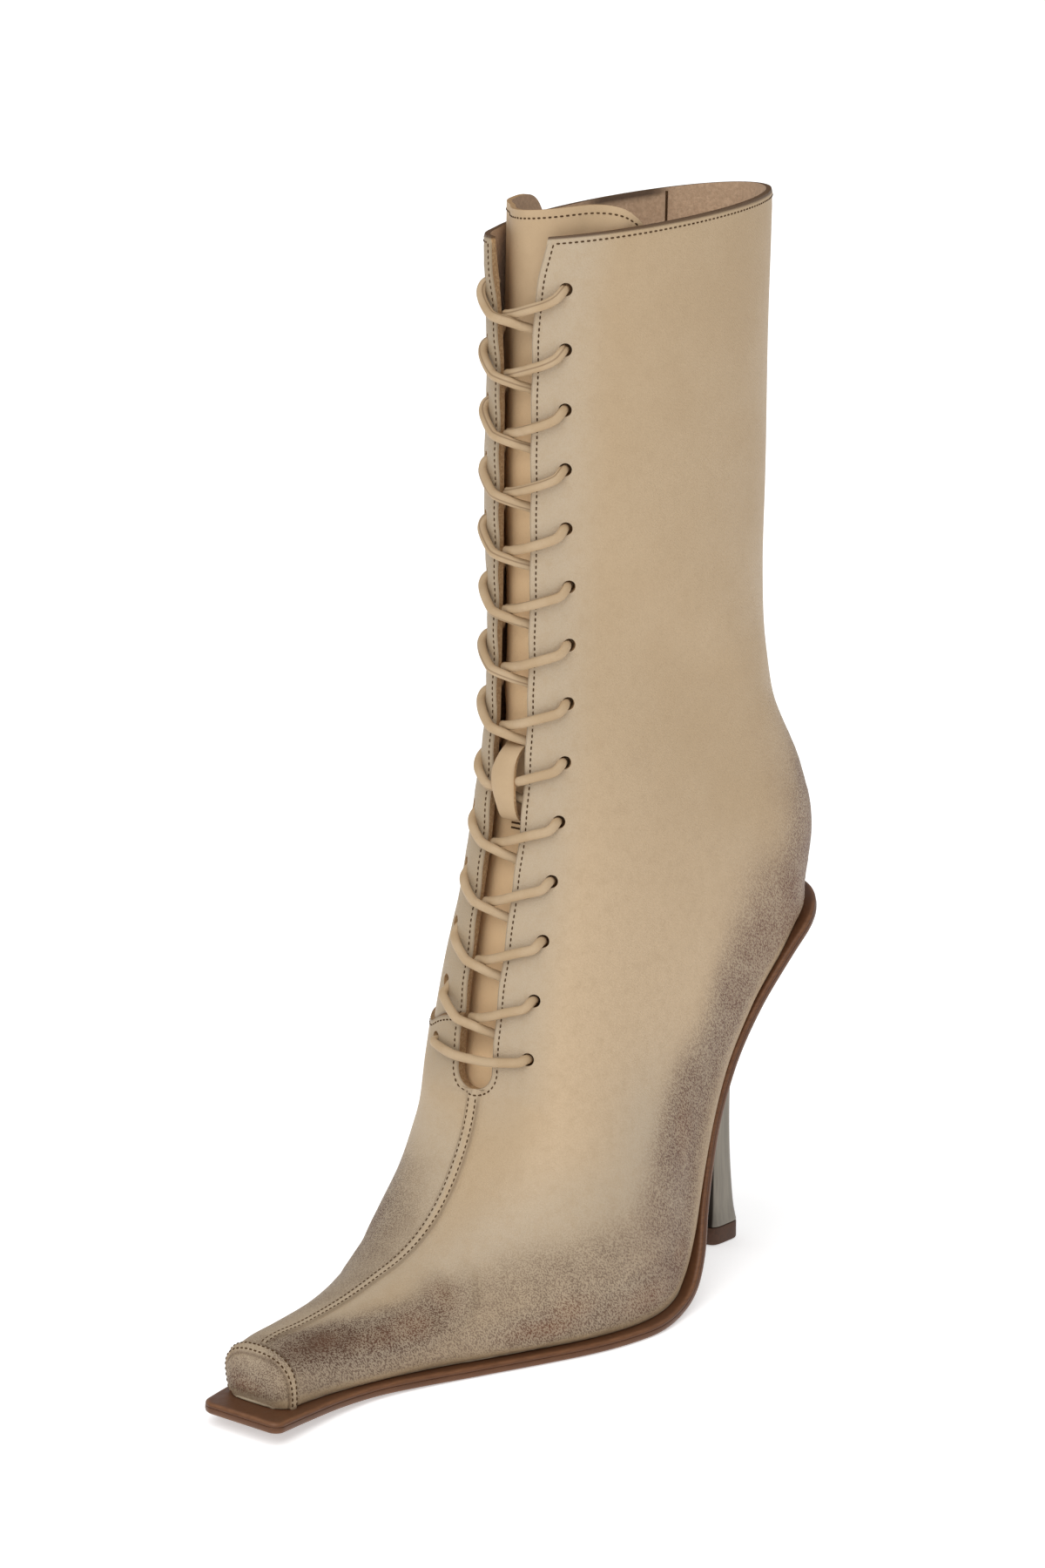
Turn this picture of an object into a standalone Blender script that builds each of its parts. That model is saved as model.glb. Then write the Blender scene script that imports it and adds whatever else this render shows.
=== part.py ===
"""Tall lace-up boot for the left foot, with a long snipped toe, a thin ledge sole and a slim heel.

Sizes are millimetres in the boot's own directions: +X to the outer side of the foot, +Y to the back
and +Z up. The heel's tip stands at X = 0, Y = 0. The whole boot hangs on one empty, which puts the
middle of its footprint on the world's origin.
"""
from collections import namedtuple

import bmesh
import bpy
import numpy as np
from mathutils import Vector

MM = 0.001

# Driving sizes, in millimetres
WALL = 2.0                  # leather and lining of the upper
FIT_GAP = 0.3               # air between pieces that touch
SEAT_GAP = 0.4              # air between the upper's lower edge and the sole's curve
SOLE_THICKNESS = 3.5
SOLE_EDGE = 0.7             # bevel along the sole's edge
TOE_CORNER = 4.0            # corner radius of the sole's snipped toe
HEEL_END = 24.0             # length of the sole's rounded back end
INSOLE_THICKNESS = 2.0
INSOLE_MARGIN = 1.2         # how far the insole's edge stays inside the upper's
LIFT_HEIGHT = 6.0
TONGUE_THICKNESS = 1.6
TONGUE_TOP_Z = 348.8
TONGUE_GAP = 0.95           # air between the tongue's edges and the upper's curved lining
TONGUE_FOOT_T = 0.075       # the tongue's half width at its foot, as a share of the section
TONGUE_OUT_T = 0.375        # higher up, round to the outer side
TONGUE_IN_T = 0.47          # and to the inner side
TONGUE_WIDE_AT = 0.55       # how far up it reaches that width
TONGUE_DROP = 0.95          # sections that the tongue's rounded upper corners fall
TONGUE_OUT_CORNER = 8.5     # higher numbers make a tighter corner
TONGUE_IN_CORNER = 20.0
LOOP_X = 0.6                # how far the keeper stands to the outer side
LOOP_HALF_WIDTH = 3.6
LOOP_THICKNESS = 1.3
LOOP_FOOT_Z = 163.0
LOOP_HEAD_Z = 187.0
LOOP_BOW = 8.4              # how far the keeper bows out over the lace
LACE_RADIUS = 1.5
LACE_SPACE = 3.2            # room for the lace between facing and tongue
LACE_SPACE_HALF = 20.0      # half width of that room
LACE_SPACE_FADE = 7.0       # how far beyond it the tongue comes back to the lining
LACE_REST = 1.9             # height of the lace's middle over the facings
THROAT_HALF_GAP = 6.2       # half the opening between the two facings
THROAT_SPREAD = 4.0         # how much further each facing opens at the collar
THROAT_SPREAD_ROWS = 2.0    # sections over which it opens
EYELET_ROWS = 14
EYELET_RADIUS = 2.0
EYELET_X = 15.2             # distance of the top eyelets from the front centre line
EYELET_FLARE = 0.22         # how much further out each lower row lies
EYELET_CUT_IN = 5.0         # how far the holes' cutters reach into the boot
EYELET_CUT_OUT = 3.0
EYELET_TOP_Z = 326.5
EYELET_PITCH = 18.0
SEAM_RAISE = 0.8            # height of the raised seams on toe and vamp
SEAM_HALF = 2.6             # half width of the centre seam
SEAM_FLANK = 0.9            # width of a seam's sloping side
OVERLAY_RAISE = 1.1         # vamp panel that lies over the inner quarter
OVERLAY_START = 3.0         # distance from the centre line at which the lace begins to climb on it
OVERLAY_FULL = 6.4          # and at which it lies on it
SHARP_EDGE = 40             # degrees between faces that meet in a hard edge

# Sections of the upper's outer face along the foot, from the toe's front edge to the back of the heel.
# Each lies in a plane through a point on the front centre line and a point on the sole's seat at base_y.
# centre is the X of the front point, wide_* the widest place and base_* the lower edge on the outer and
# the inner side. wide_at is how far down the section it is widest, power below 1 makes its top squarer,
# and turn is how far in degrees its lower side curls under.
FootSection = namedtuple("FootSection", "front_y front_z base_y centre wide_out wide_in "
                                        "base_out base_in wide_at power turn")
FOOT_SECTIONS = [
    FootSection(-219.0, 7.6, -219.0, -2.6, 2.4, -6.6, 4.6, -8.6, 0.50, 0.80, 70),
    FootSection(-220.4, 12.3, -218.4, -2.6, 6.7, -11.2, 6.5, -10.8, 0.55, 0.76, 65),
    FootSection(-219.6, 18.0, -216.9, -2.6, 8.6, -13.6, 8.1, -13.0, 0.60, 0.76, 60),
    FootSection(-216.0, 22.4, -214.4, -2.6, 9.4, -15.2, 8.7, -14.5, 0.60, 0.78, 58),
    FootSection(-209.0, 24.6, -206.5, -2.8, 9.4, -16.9, 8.2, -15.9, 0.60, 0.80, 58),
    FootSection(-196.0, 24.8, -192.0, -3.1, 10.2, -20.2, 8.3, -18.4, 0.60, 0.84, 58),
    FootSection(-178.0, 27.0, -173.0, -3.6, 13.4, -23.8, 10.8, -21.6, 0.60, 0.98, 58),
    FootSection(-162.5, 30.4, -157.0, -3.7, 18.6, -28.2, 15.0, -25.4, 0.62, 1.06, 58),
    FootSection(-151.0, 34.0, -142.0, -3.2, 25.4, -33.6, 21.2, -29.4, 0.66, 1.06, 58),
    FootSection(-141.5, 40.0, -126.0, -2.3, 32.0, -37.0, 27.8, -32.2, 0.70, 0.93, 58),
    FootSection(-133.0, 49.0, -110.0, -1.6, 37.6, -39.0, 34.0, -34.4, 0.72, 0.83, 58),
    FootSection(-126.5, 59.5, -94.0, -1.2, 41.0, -39.2, 37.8, -34.4, 0.74, 0.79, 58),
    FootSection(-122.0, 70.0, -79.0, -1.0, 41.6, -39.4, 38.4, -31.8, 0.74, 0.77, 58),
    FootSection(-119.9, 80.5, -66.5, -0.8, 40.2, -38.2, 36.3, -28.2, 0.73, 0.76, 58),
    FootSection(-118.6, 95.0, -57.0, -0.6, 37.8, -37.4, 32.8, -25.0, 0.70, 0.75, 60),
    FootSection(-116.6, 111.0, -49.0, -0.4, 35.4, -36.2, 28.9, -22.6, 0.66, 0.75, 60),
    FootSection(-113.6, 127.0, -41.5, -0.2, 33.6, -34.6, 25.4, -21.0, 0.62, 0.76, 60),
    FootSection(-110.6, 143.0, -33.0, 0.0, 32.4, -31.8, 23.0, -20.0, 0.60, 0.77, 62),
    FootSection(-107.6, 158.5, -23.0, 0.2, 31.6, -30.6, 22.2, -19.6, 0.60, 0.76, 64),
    FootSection(-106.0, 172.0, -9.5, 0.4, 31.2, -29.6, 22.6, -20.2, 0.60, 0.76, 68),
    FootSection(-105.0, 183.0, 6.0, 0.4, 30.8, -28.8, 22.6, -20.4, 0.60, 0.76, 74),
    FootSection(-104.4, 191.5, 21.0, 0.4, 30.6, -28.4, 18.4, -16.0, 0.61, 0.76, 82),
    FootSection(-104.1, 198.0, 29.6, 0.4, 30.6, -28.2, 9.2, -7.2, 0.62, 0.76, 88),
]

# Sections of the shaft, closed rings from the back of the heel to above the collar, where the tongue ends
ShaftSection = namedtuple("ShaftSection", "front_y front_z back_y back_z centre wide_out wide_in wide_at "
                                          "power")
SHAFT_SECTIONS = [
    ShaftSection(-103.9, 204.5, 33.6, 117.2, 0.4, 30.8, -28.8, 0.62, 0.76),
    ShaftSection(-103.7, 212.0, 35.0, 121.5, 0.5, 30.8, -29.0, 0.62, 0.76),
    ShaftSection(-103.6, 220.0, 36.8, 132.5, 0.5, 30.7, -29.2, 0.61, 0.77),
    ShaftSection(-103.5, 228.0, 33.6, 148.0, 0.6, 30.6, -29.4, 0.59, 0.80),
    ShaftSection(-103.4, 236.5, 24.4, 164.5, 0.7, 31.0, -29.8, 0.57, 0.84),
    ShaftSection(-103.4, 245.5, 13.2, 181.5, 0.8, 32.2, -30.3, 0.55, 0.87),
    ShaftSection(-103.4, 255.0, 6.6, 200.0, 0.9, 33.6, -30.7, 0.53, 0.90),
    ShaftSection(-103.4, 268.0, 4.8, 222.0, 1.0, 34.7, -31.0, 0.51, 0.93),
    ShaftSection(-103.3, 286.0, 5.6, 251.0, 1.0, 35.0, -31.0, 0.50, 0.95),
    ShaftSection(-102.9, 307.0, 6.4, 286.0, 1.0, 35.0, -31.0, 0.50, 0.96),
    ShaftSection(-102.2, 326.0, 7.2, 318.0, 1.0, 35.0, -31.0, 0.50, 0.96),
    ShaftSection(-101.6, 341.0, 8.0, 347.5, 1.0, 35.0, -31.0, 0.50, 0.96),
    ShaftSection(-101.0, 366.0, 8.6, 372.0, 1.0, 35.0, -31.0, 0.50, 0.96),
]
Section = namedtuple("Section", "front_y front_z base_y base_z centre wide_out wide_in "
                                "base_out base_in wide_at power turn")
CAP_SEAM_ROW = 3.0          # section along the toe cap's seam
TONGUE_FOOT_ROW = 11.8
THROAT_ROW = 13.0           # section where the facings part
HEEL_BACK_ROW = 23.0        # section where the two sides close up the back
COLLAR_ROW = 34.0
COLLAR_TILT = 0.07          # rise of the collar towards the outer side, per millimetre
COLLAR_TILT_ROWS = 4.0      # sections over which it comes in
OVERLAY_ROW = 14.5          # the vamp panel's upper edge, at the inner facing
OVERLAY_RISE = 1.0          # sections that this edge climbs round the inner side

# Stations of the sole's underside, from the toe to the back end, before the ends are rounded
Station = namedtuple("Station", "y z out_x in_x")
SOLE = [
    Station(-229.0, 4.0, 16.5, -14.5),
    Station(-212.0, 2.8, 14.0, -19.5),
    Station(-196.0, 1.8, 12.4, -22.6),
    Station(-180.0, 0.9, 13.0, -25.2),
    Station(-165.0, 0.3, 16.8, -27.8),
    Station(-148.0, 0.0, 23.2, -31.0),
    Station(-128.0, 0.0, 31.4, -34.8),
    Station(-110.0, 0.0, 38.2, -37.3),
    Station(-95.0, 0.0, 41.8, -37.5),
    Station(-80.0, 0.2, 42.8, -35.0),
    Station(-66.0, 1.9, 40.3, -31.2),
    Station(-56.0, 6.4, 37.8, -28.0),
    Station(-48.0, 15.0, 34.5, -25.6),
    Station(-41.0, 26.8, 30.2, -23.6),
    Station(-34.0, 40.2, 26.8, -22.2),
    Station(-27.0, 54.0, 24.6, -21.4),
    Station(-18.0, 70.0, 23.9, -21.4),
    Station(-7.0, 84.3, 24.3, -22.2),
    Station(5.0, 96.0, 25.0, -23.0),
    Station(17.0, 105.2, 25.0, -23.2),
    Station(28.0, 110.4, 24.0, -22.5),
    Station(38.5, 113.8, 23.0, -22.0),
]

# Rings of the heel, from its tip to just below the sole
Ring = namedtuple("Ring", "front_y front_z back_y back_z half_width")
HEEL = [
    Ring(-7.6, 6.3, 6.6, 6.3, 6.2),
    Ring(-6.0, 14.0, 5.4, 14.0, 5.2),
    Ring(-5.0, 32.0, 4.4, 32.0, 4.3),
    Ring(-5.9, 48.0, 4.0, 52.0, 4.5),
    Ring(-9.0, 61.0, 4.4, 70.0, 5.8),
    Ring(-13.5, 69.0, 7.0, 87.0, 8.4),
    Ring(-20.0, 66.5, 13.0, 102.0, 12.5),
]
HEEL_POWER = 0.45           # below 1, rings are squarer than an ellipse

# One run of lace from its eyelet to the gap's far side: distance from the centre line on the run's own
# side, drop below the eyelet, and how far it sinks from its height over the facing
LaceStop = namedtuple("LaceStop", "x drop sink")
OUTER_RUN = [
    LaceStop(10.0, 4.2, 0.2),
    LaceStop(6.4, 5.9, 0.0),
    LaceStop(3.0, 7.0, -1.3),
    LaceStop(-1.0, 8.1, -2.0),
    LaceStop(-4.0, 8.9, -2.7),
]
INNER_RUN = [
    LaceStop(11.0, 4.6, 0.2),
    LaceStop(6.8, 8.4, 0.4),
    LaceStop(4.4, 9.5, -0.5),
    LaceStop(0.0, 11.0, -2.1),
    LaceStop(-3.8, 12.2, -3.3),
]
LACE_FIRST_DROP = 1.4
LACE_SAG = 2.5              # sag of the bar at the throat's foot

LEATHER = (0.62, 0.49, 0.35, 1.0)
SOLE_BROWN = (0.16, 0.075, 0.04, 1.0)
LINING = (0.66, 0.55, 0.42, 1.0)
HEEL_METAL = (0.36, 0.36, 0.31, 1.0)
LACE_TAN = (0.66, 0.50, 0.33, 1.0)


def smooth_rows(table, where):
    """Every column of a table at fractional row numbers, on a smooth curve through the rows."""
    rows = np.array(table, dtype=float)
    where = np.asarray(where, dtype=float)
    last = len(rows) - 1
    row = np.clip(np.floor(where), 0, last - 1).astype(int)
    part = (where - row)[..., None]
    before = rows[np.clip(row - 1, 0, last)]
    here = rows[row]
    after = rows[row + 1]
    beyond = rows[np.clip(row + 2, 0, last)]
    linear = after - before
    square = 2 * before - 5 * here + 4 * after - beyond
    cube = 3 * (here - after) + beyond - before
    return 0.5 * (2 * here + linear * part + square * part ** 2 + cube * part ** 3)


def ease(value, start, end):
    """Smooth step from 0 at start to 1 at end."""
    part = np.clip((value - start) / (end - start), 0.0, 1.0)
    return part * part * (3 - 2 * part)


def sole_seat(y):
    """Height at which the upper and the insole sit on the sole, at a place along the boot."""
    numbers = np.linspace(0, len(SOLE) - 1, 600)
    stations = smooth_rows(SOLE, numbers)
    along_y = np.gradient(stations[:, 0])
    along_z = np.gradient(stations[:, 1])
    lift = (SOLE_THICKNESS + SEAT_GAP) / np.hypot(along_y, along_z)
    return np.interp(y, stations[:, 0] - along_z * lift, stations[:, 1] + along_y * lift)


def all_sections():
    """Foot and shaft sections as one table."""
    table = []
    for row in FOOT_SECTIONS:
        table.append(Section(row.front_y, row.front_z, row.base_y, sole_seat(row.base_y), *row[3:]))
    for row in SHAFT_SECTIONS:
        table.append(Section(*row[:7], row.centre, row.centre, row.wide_at, row.power, 90.0))
    return table


SECTIONS = all_sections()


def section_at(s):
    """Values of the section at a fractional number; foot sections end exactly on the sole's seat."""
    row = Section(*np.moveaxis(smooth_rows(SECTIONS, s), -1, 0))
    return row._replace(base_z=np.where(s < HEEL_BACK_ROW, sole_seat(row.base_y), row.base_z))


def skin(s, t):
    """Outer face of the upper: s is a section number, t runs from the inner edge to the outer one."""
    s, t = np.broadcast_arrays(np.asarray(s, dtype=float), np.asarray(t, dtype=float))
    row = section_at(s)
    wide = np.where(t >= 0, row.wide_out, row.wide_in)
    base = np.where(t >= 0, row.base_out, row.base_in)
    upper_angle = np.clip(2 * np.abs(t), 0.0, 1.0) * np.pi / 2
    full_turn = np.radians(row.turn)
    lower_angle = np.clip(2 * np.abs(t) - 1, 0.0, 1.0) * full_turn
    on_top = np.abs(t) <= 0.5
    across = np.sin(upper_angle) ** row.power
    down = 1 - np.clip(np.cos(upper_angle), 0.0, 1.0) ** row.power
    tuck = (1 - np.cos(lower_angle)) / (1 - np.cos(full_turn))
    drop = np.sin(lower_angle) / np.sin(full_turn)
    x = np.where(on_top, row.centre + (wide - row.centre) * across, wide + (base - wide) * tuck)
    along = np.where(on_top, row.wide_at * down, row.wide_at + (1 - row.wide_at) * drop)
    y = row.front_y + (row.base_y - row.front_y) * along
    z = row.front_z + (row.base_z - row.front_z) * along
    z = z + COLLAR_TILT * (x - row.centre) * ease(s, COLLAR_ROW - COLLAR_TILT_ROWS, COLLAR_ROW)
    return np.stack([x, y, z], axis=-1)


def skin_normal(s, t):
    """Outward direction of the upper's outer face."""
    step = 0.02
    s, t = np.broadcast_arrays(np.asarray(s, dtype=float), np.asarray(t, dtype=float))
    low = np.clip(s - step, 0.0, None)
    along = skin(s + step, t) - skin(low, t)
    across = skin(s, np.clip(t + step, -1, 1)) - skin(s, np.clip(t - step, -1, 1))
    closed = (np.abs(t) > 1 - 1e-6) & (s >= HEEL_BACK_ROW)
    back = np.array([1.0, 0.0, 0.0])
    across = np.where(closed[..., None], -back, across)
    normal = np.cross(across, along)
    return normal / np.linalg.norm(normal, axis=-1, keepdims=True)


def side_place(s, distance, side):
    """t of the point that lies this far in X from the front centre line, on one side."""
    row = section_at(s)
    reach = (row.wide_out - row.centre) if side > 0 else (row.centre - row.wide_in)
    share = np.clip(distance / reach, 0.0, 1.0) ** (1 / row.power)
    return side * np.arcsin(share) / np.pi


def throat_half_gap(s):
    """Half the opening between the facings: a round end at its foot, and wider at the collar."""
    climb = np.linalg.norm(skin(s, 0.0)[..., 1:] - skin(THROAT_ROW, 0.0)[..., 1:], axis=-1)
    climb = np.where(s > THROAT_ROW, climb, 0.0)
    round_end = np.sqrt(np.clip(1 - (1 - np.clip(climb / THROAT_HALF_GAP, 0, 1)) ** 2, 0, 1))
    opened = np.clip((s - COLLAR_ROW) / THROAT_SPREAD_ROWS + 1, 0, 1)
    return THROAT_HALF_GAP * round_end + THROAT_SPREAD * opened ** 2


def section_of_height(height, distance, side):
    """Section number at which the face reaches this height, this far from the front centre line."""
    numbers = np.linspace(THROAT_ROW - 2, COLLAR_ROW, 400)
    heights = skin(numbers, side_place(numbers, distance, side))[:, 2]
    return float(np.interp(height, heights, numbers))


def new_object(name, vertices, faces, material, parent):
    """One mesh object from points in millimetres."""
    mesh = bpy.data.meshes.new(name)
    mesh.from_pydata([Vector(point) * MM for point in np.asarray(vertices).tolist()], [], faces)
    work = bmesh.new()
    work.from_mesh(mesh)
    bmesh.ops.recalc_face_normals(work, faces=work.faces)
    work.to_mesh(mesh)
    work.free()
    mesh.materials.append(material)
    mesh.shade_smooth()
    mesh.set_sharp_from_angle(angle=np.radians(SHARP_EDGE))
    thing = bpy.data.objects.new(name, mesh)
    bpy.context.collection.objects.link(thing)
    thing.parent = parent
    return thing


def make_material(name, colour, roughness, metallic=0.0):
    """A plain finish."""
    material = bpy.data.materials.new(name)
    material.use_nodes = True
    shader = material.node_tree.nodes["Principled BSDF"]
    shader.inputs["Base Color"].default_value = colour
    shader.inputs["Roughness"].default_value = roughness
    shader.inputs["Metallic"].default_value = metallic
    return material


def hide_helper(thing):
    """Marks a cutter or a second bar, which isn't a piece of its own."""
    thing.hide_render = True
    thing.display_type = "WIRE"


def add_boolean(thing, helper, operation):
    """Joins a helper to a piece, or cuts it out."""
    modifier = thing.modifiers.new(operation.lower(), "BOOLEAN")
    modifier.operation = operation
    modifier.solver = "EXACT"
    modifier.object = helper


def loft(rings):
    """Points and faces of a closed solid through rings of the same size, with flat ends."""
    count = len(rings[0])
    vertices = [point for ring in rings for point in ring]
    faces = []
    for level in range(len(rings) - 1):
        low = level * count
        for place in range(count):
            after = (place + 1) % count
            faces.append((low + place, low + after, low + count + after, low + count + place))
    faces.append(tuple(range(count)))
    top = (len(rings) - 1) * count
    faces.append(tuple(top + place for place in range(count)))
    return vertices, faces


def overlay_row(t):
    """Section number of the vamp panel's upper edge, round the inner side."""
    return OVERLAY_ROW + OVERLAY_RISE * ease(-t, 0.15, 0.35)


def upper_rows():
    """Section numbers of the upper's mesh rows, with close ones where its wall has a step."""
    coarse = np.concatenate([
        np.arange(0, 4.0, 0.5), np.arange(4, 13, 0.9), np.arange(13.6, 17.2, 0.8),
        np.arange(17.6, 23, 0.45), np.arange(23.5, 34, 1.0)])
    cap = CAP_SEAM_ROW + np.array([-0.30, -0.16, 0.10, 0.20])
    throat = THROAT_ROW + np.array([0.0, 0.08, 0.25])
    overlay = OVERLAY_ROW + np.array([-0.05, 0.05])
    special = np.concatenate([cap, throat, overlay, [HEEL_BACK_ROW, COLLAR_ROW]])
    clear = [row for row in coarse if np.min(np.abs(special - row)) > 0.15]
    return np.sort(np.concatenate([clear, special]))


def side_columns(s, side, count):
    """t of the mesh columns on one side of a section, from the throat or centre to the edge."""
    gap = throat_half_gap(s)
    start = side_place(s, gap, side)
    ridge = side_place(s, gap + SEAM_HALF, side)
    flank = side_place(s, gap + SEAM_HALF + SEAM_FLANK, side)
    rest = flank + (side - flank) * np.linspace(0, 1, count - 2)
    return np.concatenate([[start, ridge], rest])


def wall_raise(s, t, column):
    """Height of seams and overlay above the plain wall at one mesh point."""
    below_throat = s < THROAT_ROW + 0.01
    centre_seam = below_throat and column <= 1 and s > CAP_SEAM_ROW
    cap_seam = abs(s - CAP_SEAM_ROW + 0.03) < 0.15
    overlay = t < 0 and THROAT_ROW - 0.1 < s < OVERLAY_ROW
    plain_vamp = t < 0 and s <= THROAT_ROW - 0.1
    fade = float(ease(s, CAP_SEAM_ROW + 2, THROAT_ROW)) * float(ease(-t, 0.0, 0.15))
    seam = SEAM_RAISE * (centre_seam or cap_seam)
    return max(seam, OVERLAY_RAISE * overlay, OVERLAY_RAISE * fade * plain_vamp)


def build_upper(material, parent):
    """The hollow upper: an outer and an inner face with rims round its two openings."""
    columns = 12
    rows = upper_rows()
    vertices = []
    index = {}

    def add_point(key, s, t, column):
        """One outer point and the inner point behind it."""
        warp = float(ease(s, OVERLAY_ROW - 1.2, OVERLAY_ROW) - ease(s, OVERLAY_ROW, OVERLAY_ROW + 4.0))
        shift = (overlay_row(t) - OVERLAY_ROW) * warp if t < 0 else 0.0
        point = skin(s + shift, t)
        normal = skin_normal(s + shift, t)
        index[key] = len(vertices)
        at_edge = column == columns - 1
        vertices.append(point + normal * (0.0 if at_edge else wall_raise(s, t, column)))
        inner = point - normal * WALL
        inner[2] = max(inner[2], float(sole_seat(inner[1])))
        vertices.append(inner)

    for level, s in enumerate(rows):
        parted = s > THROAT_ROW + 0.01
        closed = s >= HEEL_BACK_ROW - 0.01
        for side in (1, -1):
            for column, t in enumerate(side_columns(s, side, columns)):
                key = (level, side * column)
                if column == 0 and parted:
                    key = (level, "throat", side)
                if column == columns - 1 and closed:
                    key = (level, "back")
                if key not in index:
                    add_point(key, s, t, column)

    def find(level, side, column):
        """Number of a stored point, whatever it is shared with."""
        for key in ((level, side * column), (level, "throat", side), (level, "back")):
            edge = {"throat": column == 0, "back": column == columns - 1}.get(key[1], True)
            if edge and key in index:
                return index[key]
        raise KeyError((level, side, column))

    faces = []
    border = {}
    for level in range(len(rows) - 1):
        for side in (1, -1):
            for column in range(columns - 1):
                loop = [find(level, side, column), find(level, side, column + 1),
                        find(level + 1, side, column + 1), find(level + 1, side, column)]
                if side < 0:
                    loop.reverse()
                faces.append(tuple(loop))
                faces.append(tuple(number + 1 for number in reversed(loop)))
                for start, end in zip(loop, loop[1:] + loop[:1]):
                    border[(start, end)] = (end, start)
    rim = [edge for edge, twin in border.items() if twin not in border]
    faces.extend((end, start, start + 1, end + 1) for start, end in rim)
    upper = new_object("upper", vertices, faces, material, parent)
    cutter = build_eyelet_cutter(material, parent)
    add_boolean(upper, cutter, "DIFFERENCE")
    return upper


def eyelet_row(row):
    """Distance from the front centre line and height of one row of eyelets, counted from the top."""
    return EYELET_X + EYELET_FLARE * row, EYELET_TOP_Z - EYELET_PITCH * row


def eyelet(row, side):
    """Section number and t of one eyelet."""
    distance, z = eyelet_row(row)
    s = section_of_height(z, distance, side)
    return s, float(side_place(s, distance, side))


def build_eyelet_cutter(material, parent):
    """Pins through the wall at every eyelet."""
    sides = 8
    vertices = []
    faces = []
    for row in range(EYELET_ROWS):
        for side in (1, -1):
            s, t = eyelet(row, side)
            middle = Vector(skin(s, t))
            axis = Vector(skin_normal(s, t))
            first = axis.cross(Vector((0, 0, 1))).normalized()
            second = axis.cross(first)
            rings = []
            for depth in (-EYELET_CUT_IN, EYELET_CUT_OUT):
                rings.append([middle + axis * depth + EYELET_RADIUS * (
                    first * np.cos(angle) + second * np.sin(angle))
                    for angle in np.arange(sides) * 2 * np.pi / sides])
            points, loops = loft(rings)
            faces.extend(tuple(number + len(vertices) for number in loop) for loop in loops)
            vertices.extend(points)
    cutter = new_object("eyelet_cutter", vertices, faces, material, parent)
    hide_helper(cutter)
    return cutter


def sole_place(where):
    """Underside point, upward direction and edges of the sole at fractional station numbers."""
    step = 0.01
    station = Station(*np.moveaxis(smooth_rows(SOLE, where), -1, 0))
    last = len(SOLE) - 1
    ahead = Station(*np.moveaxis(smooth_rows(SOLE, np.clip(where + step, 0, last)), -1, 0))
    behind = Station(*np.moveaxis(smooth_rows(SOLE, np.clip(where - step, 0, last)), -1, 0))
    along = np.hypot(ahead.y - behind.y, ahead.z - behind.z)
    up_y = -(ahead.z - behind.z) / along
    up_z = (ahead.y - behind.y) / along
    toe = np.clip((SOLE[0].y + TOE_CORNER - station.y) / TOE_CORNER, 0, 1)
    trim = TOE_CORNER * (1 - np.sqrt(1 - toe ** 2))
    end = np.clip((station.y - SOLE[-1].y + HEEL_END) / HEEL_END, 0, 1)
    middle = (station.out_x + station.in_x) / 2
    half = (station.out_x - station.in_x) / 2 * np.sqrt(1 - end ** 2) - trim
    return station.y, np.maximum(station.z, 0.0), up_y, up_z, middle, half


def sole_underside(y):
    """Height of the sole's underside at a place along the boot."""
    numbers = np.linspace(0, len(SOLE) - 1, 600)
    stations = smooth_rows(SOLE, numbers)
    return np.interp(y, stations[:, 0], stations[:, 1])


def build_outsole(material, parent):
    """The sole: one bevelled slab that follows the last from toe spring to the lip at the back."""
    last = len(SOLE) - 1
    toe = np.array([0.0, 0.03, 0.10, 0.24])
    back = last - np.array([0.0, 0.03, 0.12, 0.3, 0.6])
    between = np.arange(0.5, last - 0.9, 0.5)
    rings = []
    for where in np.sort(np.concatenate([toe, between, back])):
        y, z, up_y, up_z, middle, half = sole_place(where)
        half = max(float(half), 2.0)
        at_end = where in (toe[0], back[0])
        low = SOLE_EDGE if at_end else 0.0
        high = SOLE_THICKNESS - low
        bevel = SOLE_EDGE
        outline = [(half - bevel, low), (half, low + bevel), (half, high - bevel), (half - bevel, high)]
        outline += [(-across, height) for across, height in reversed(outline)]
        rings.append([(middle + across, y + up_y * height, z + up_z * height) for across, height in outline])
    return new_object("outsole", *loft(rings), material, parent)


def build_insole(material, parent):
    """The insole: a thin board inside the upper's lower edge."""
    rings = []
    for s in np.concatenate([[3.4], np.arange(4, 21.6, 0.7)]):
        base = section_at(s)
        inside = {}
        for side in (1, -1):
            edge = skin(s, side) - skin_normal(s, side) * WALL
            inside[side] = edge[0] - side * INSOLE_MARGIN
        where = np.interp(base.base_y, [row.y for row in SOLE], np.arange(len(SOLE)))
        up_y, up_z = sole_place(where)[2:4]
        ring = []
        for x, height in ((inside[1], FIT_GAP), (inside[1], INSOLE_THICKNESS),
                          (inside[-1], INSOLE_THICKNESS), (inside[-1], FIT_GAP)):
            ring.append((x, base.base_y + up_y * height, base.base_z + up_z * height))
        rings.append(ring)
    return new_object("insole", *loft(rings), material, parent)


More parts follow.
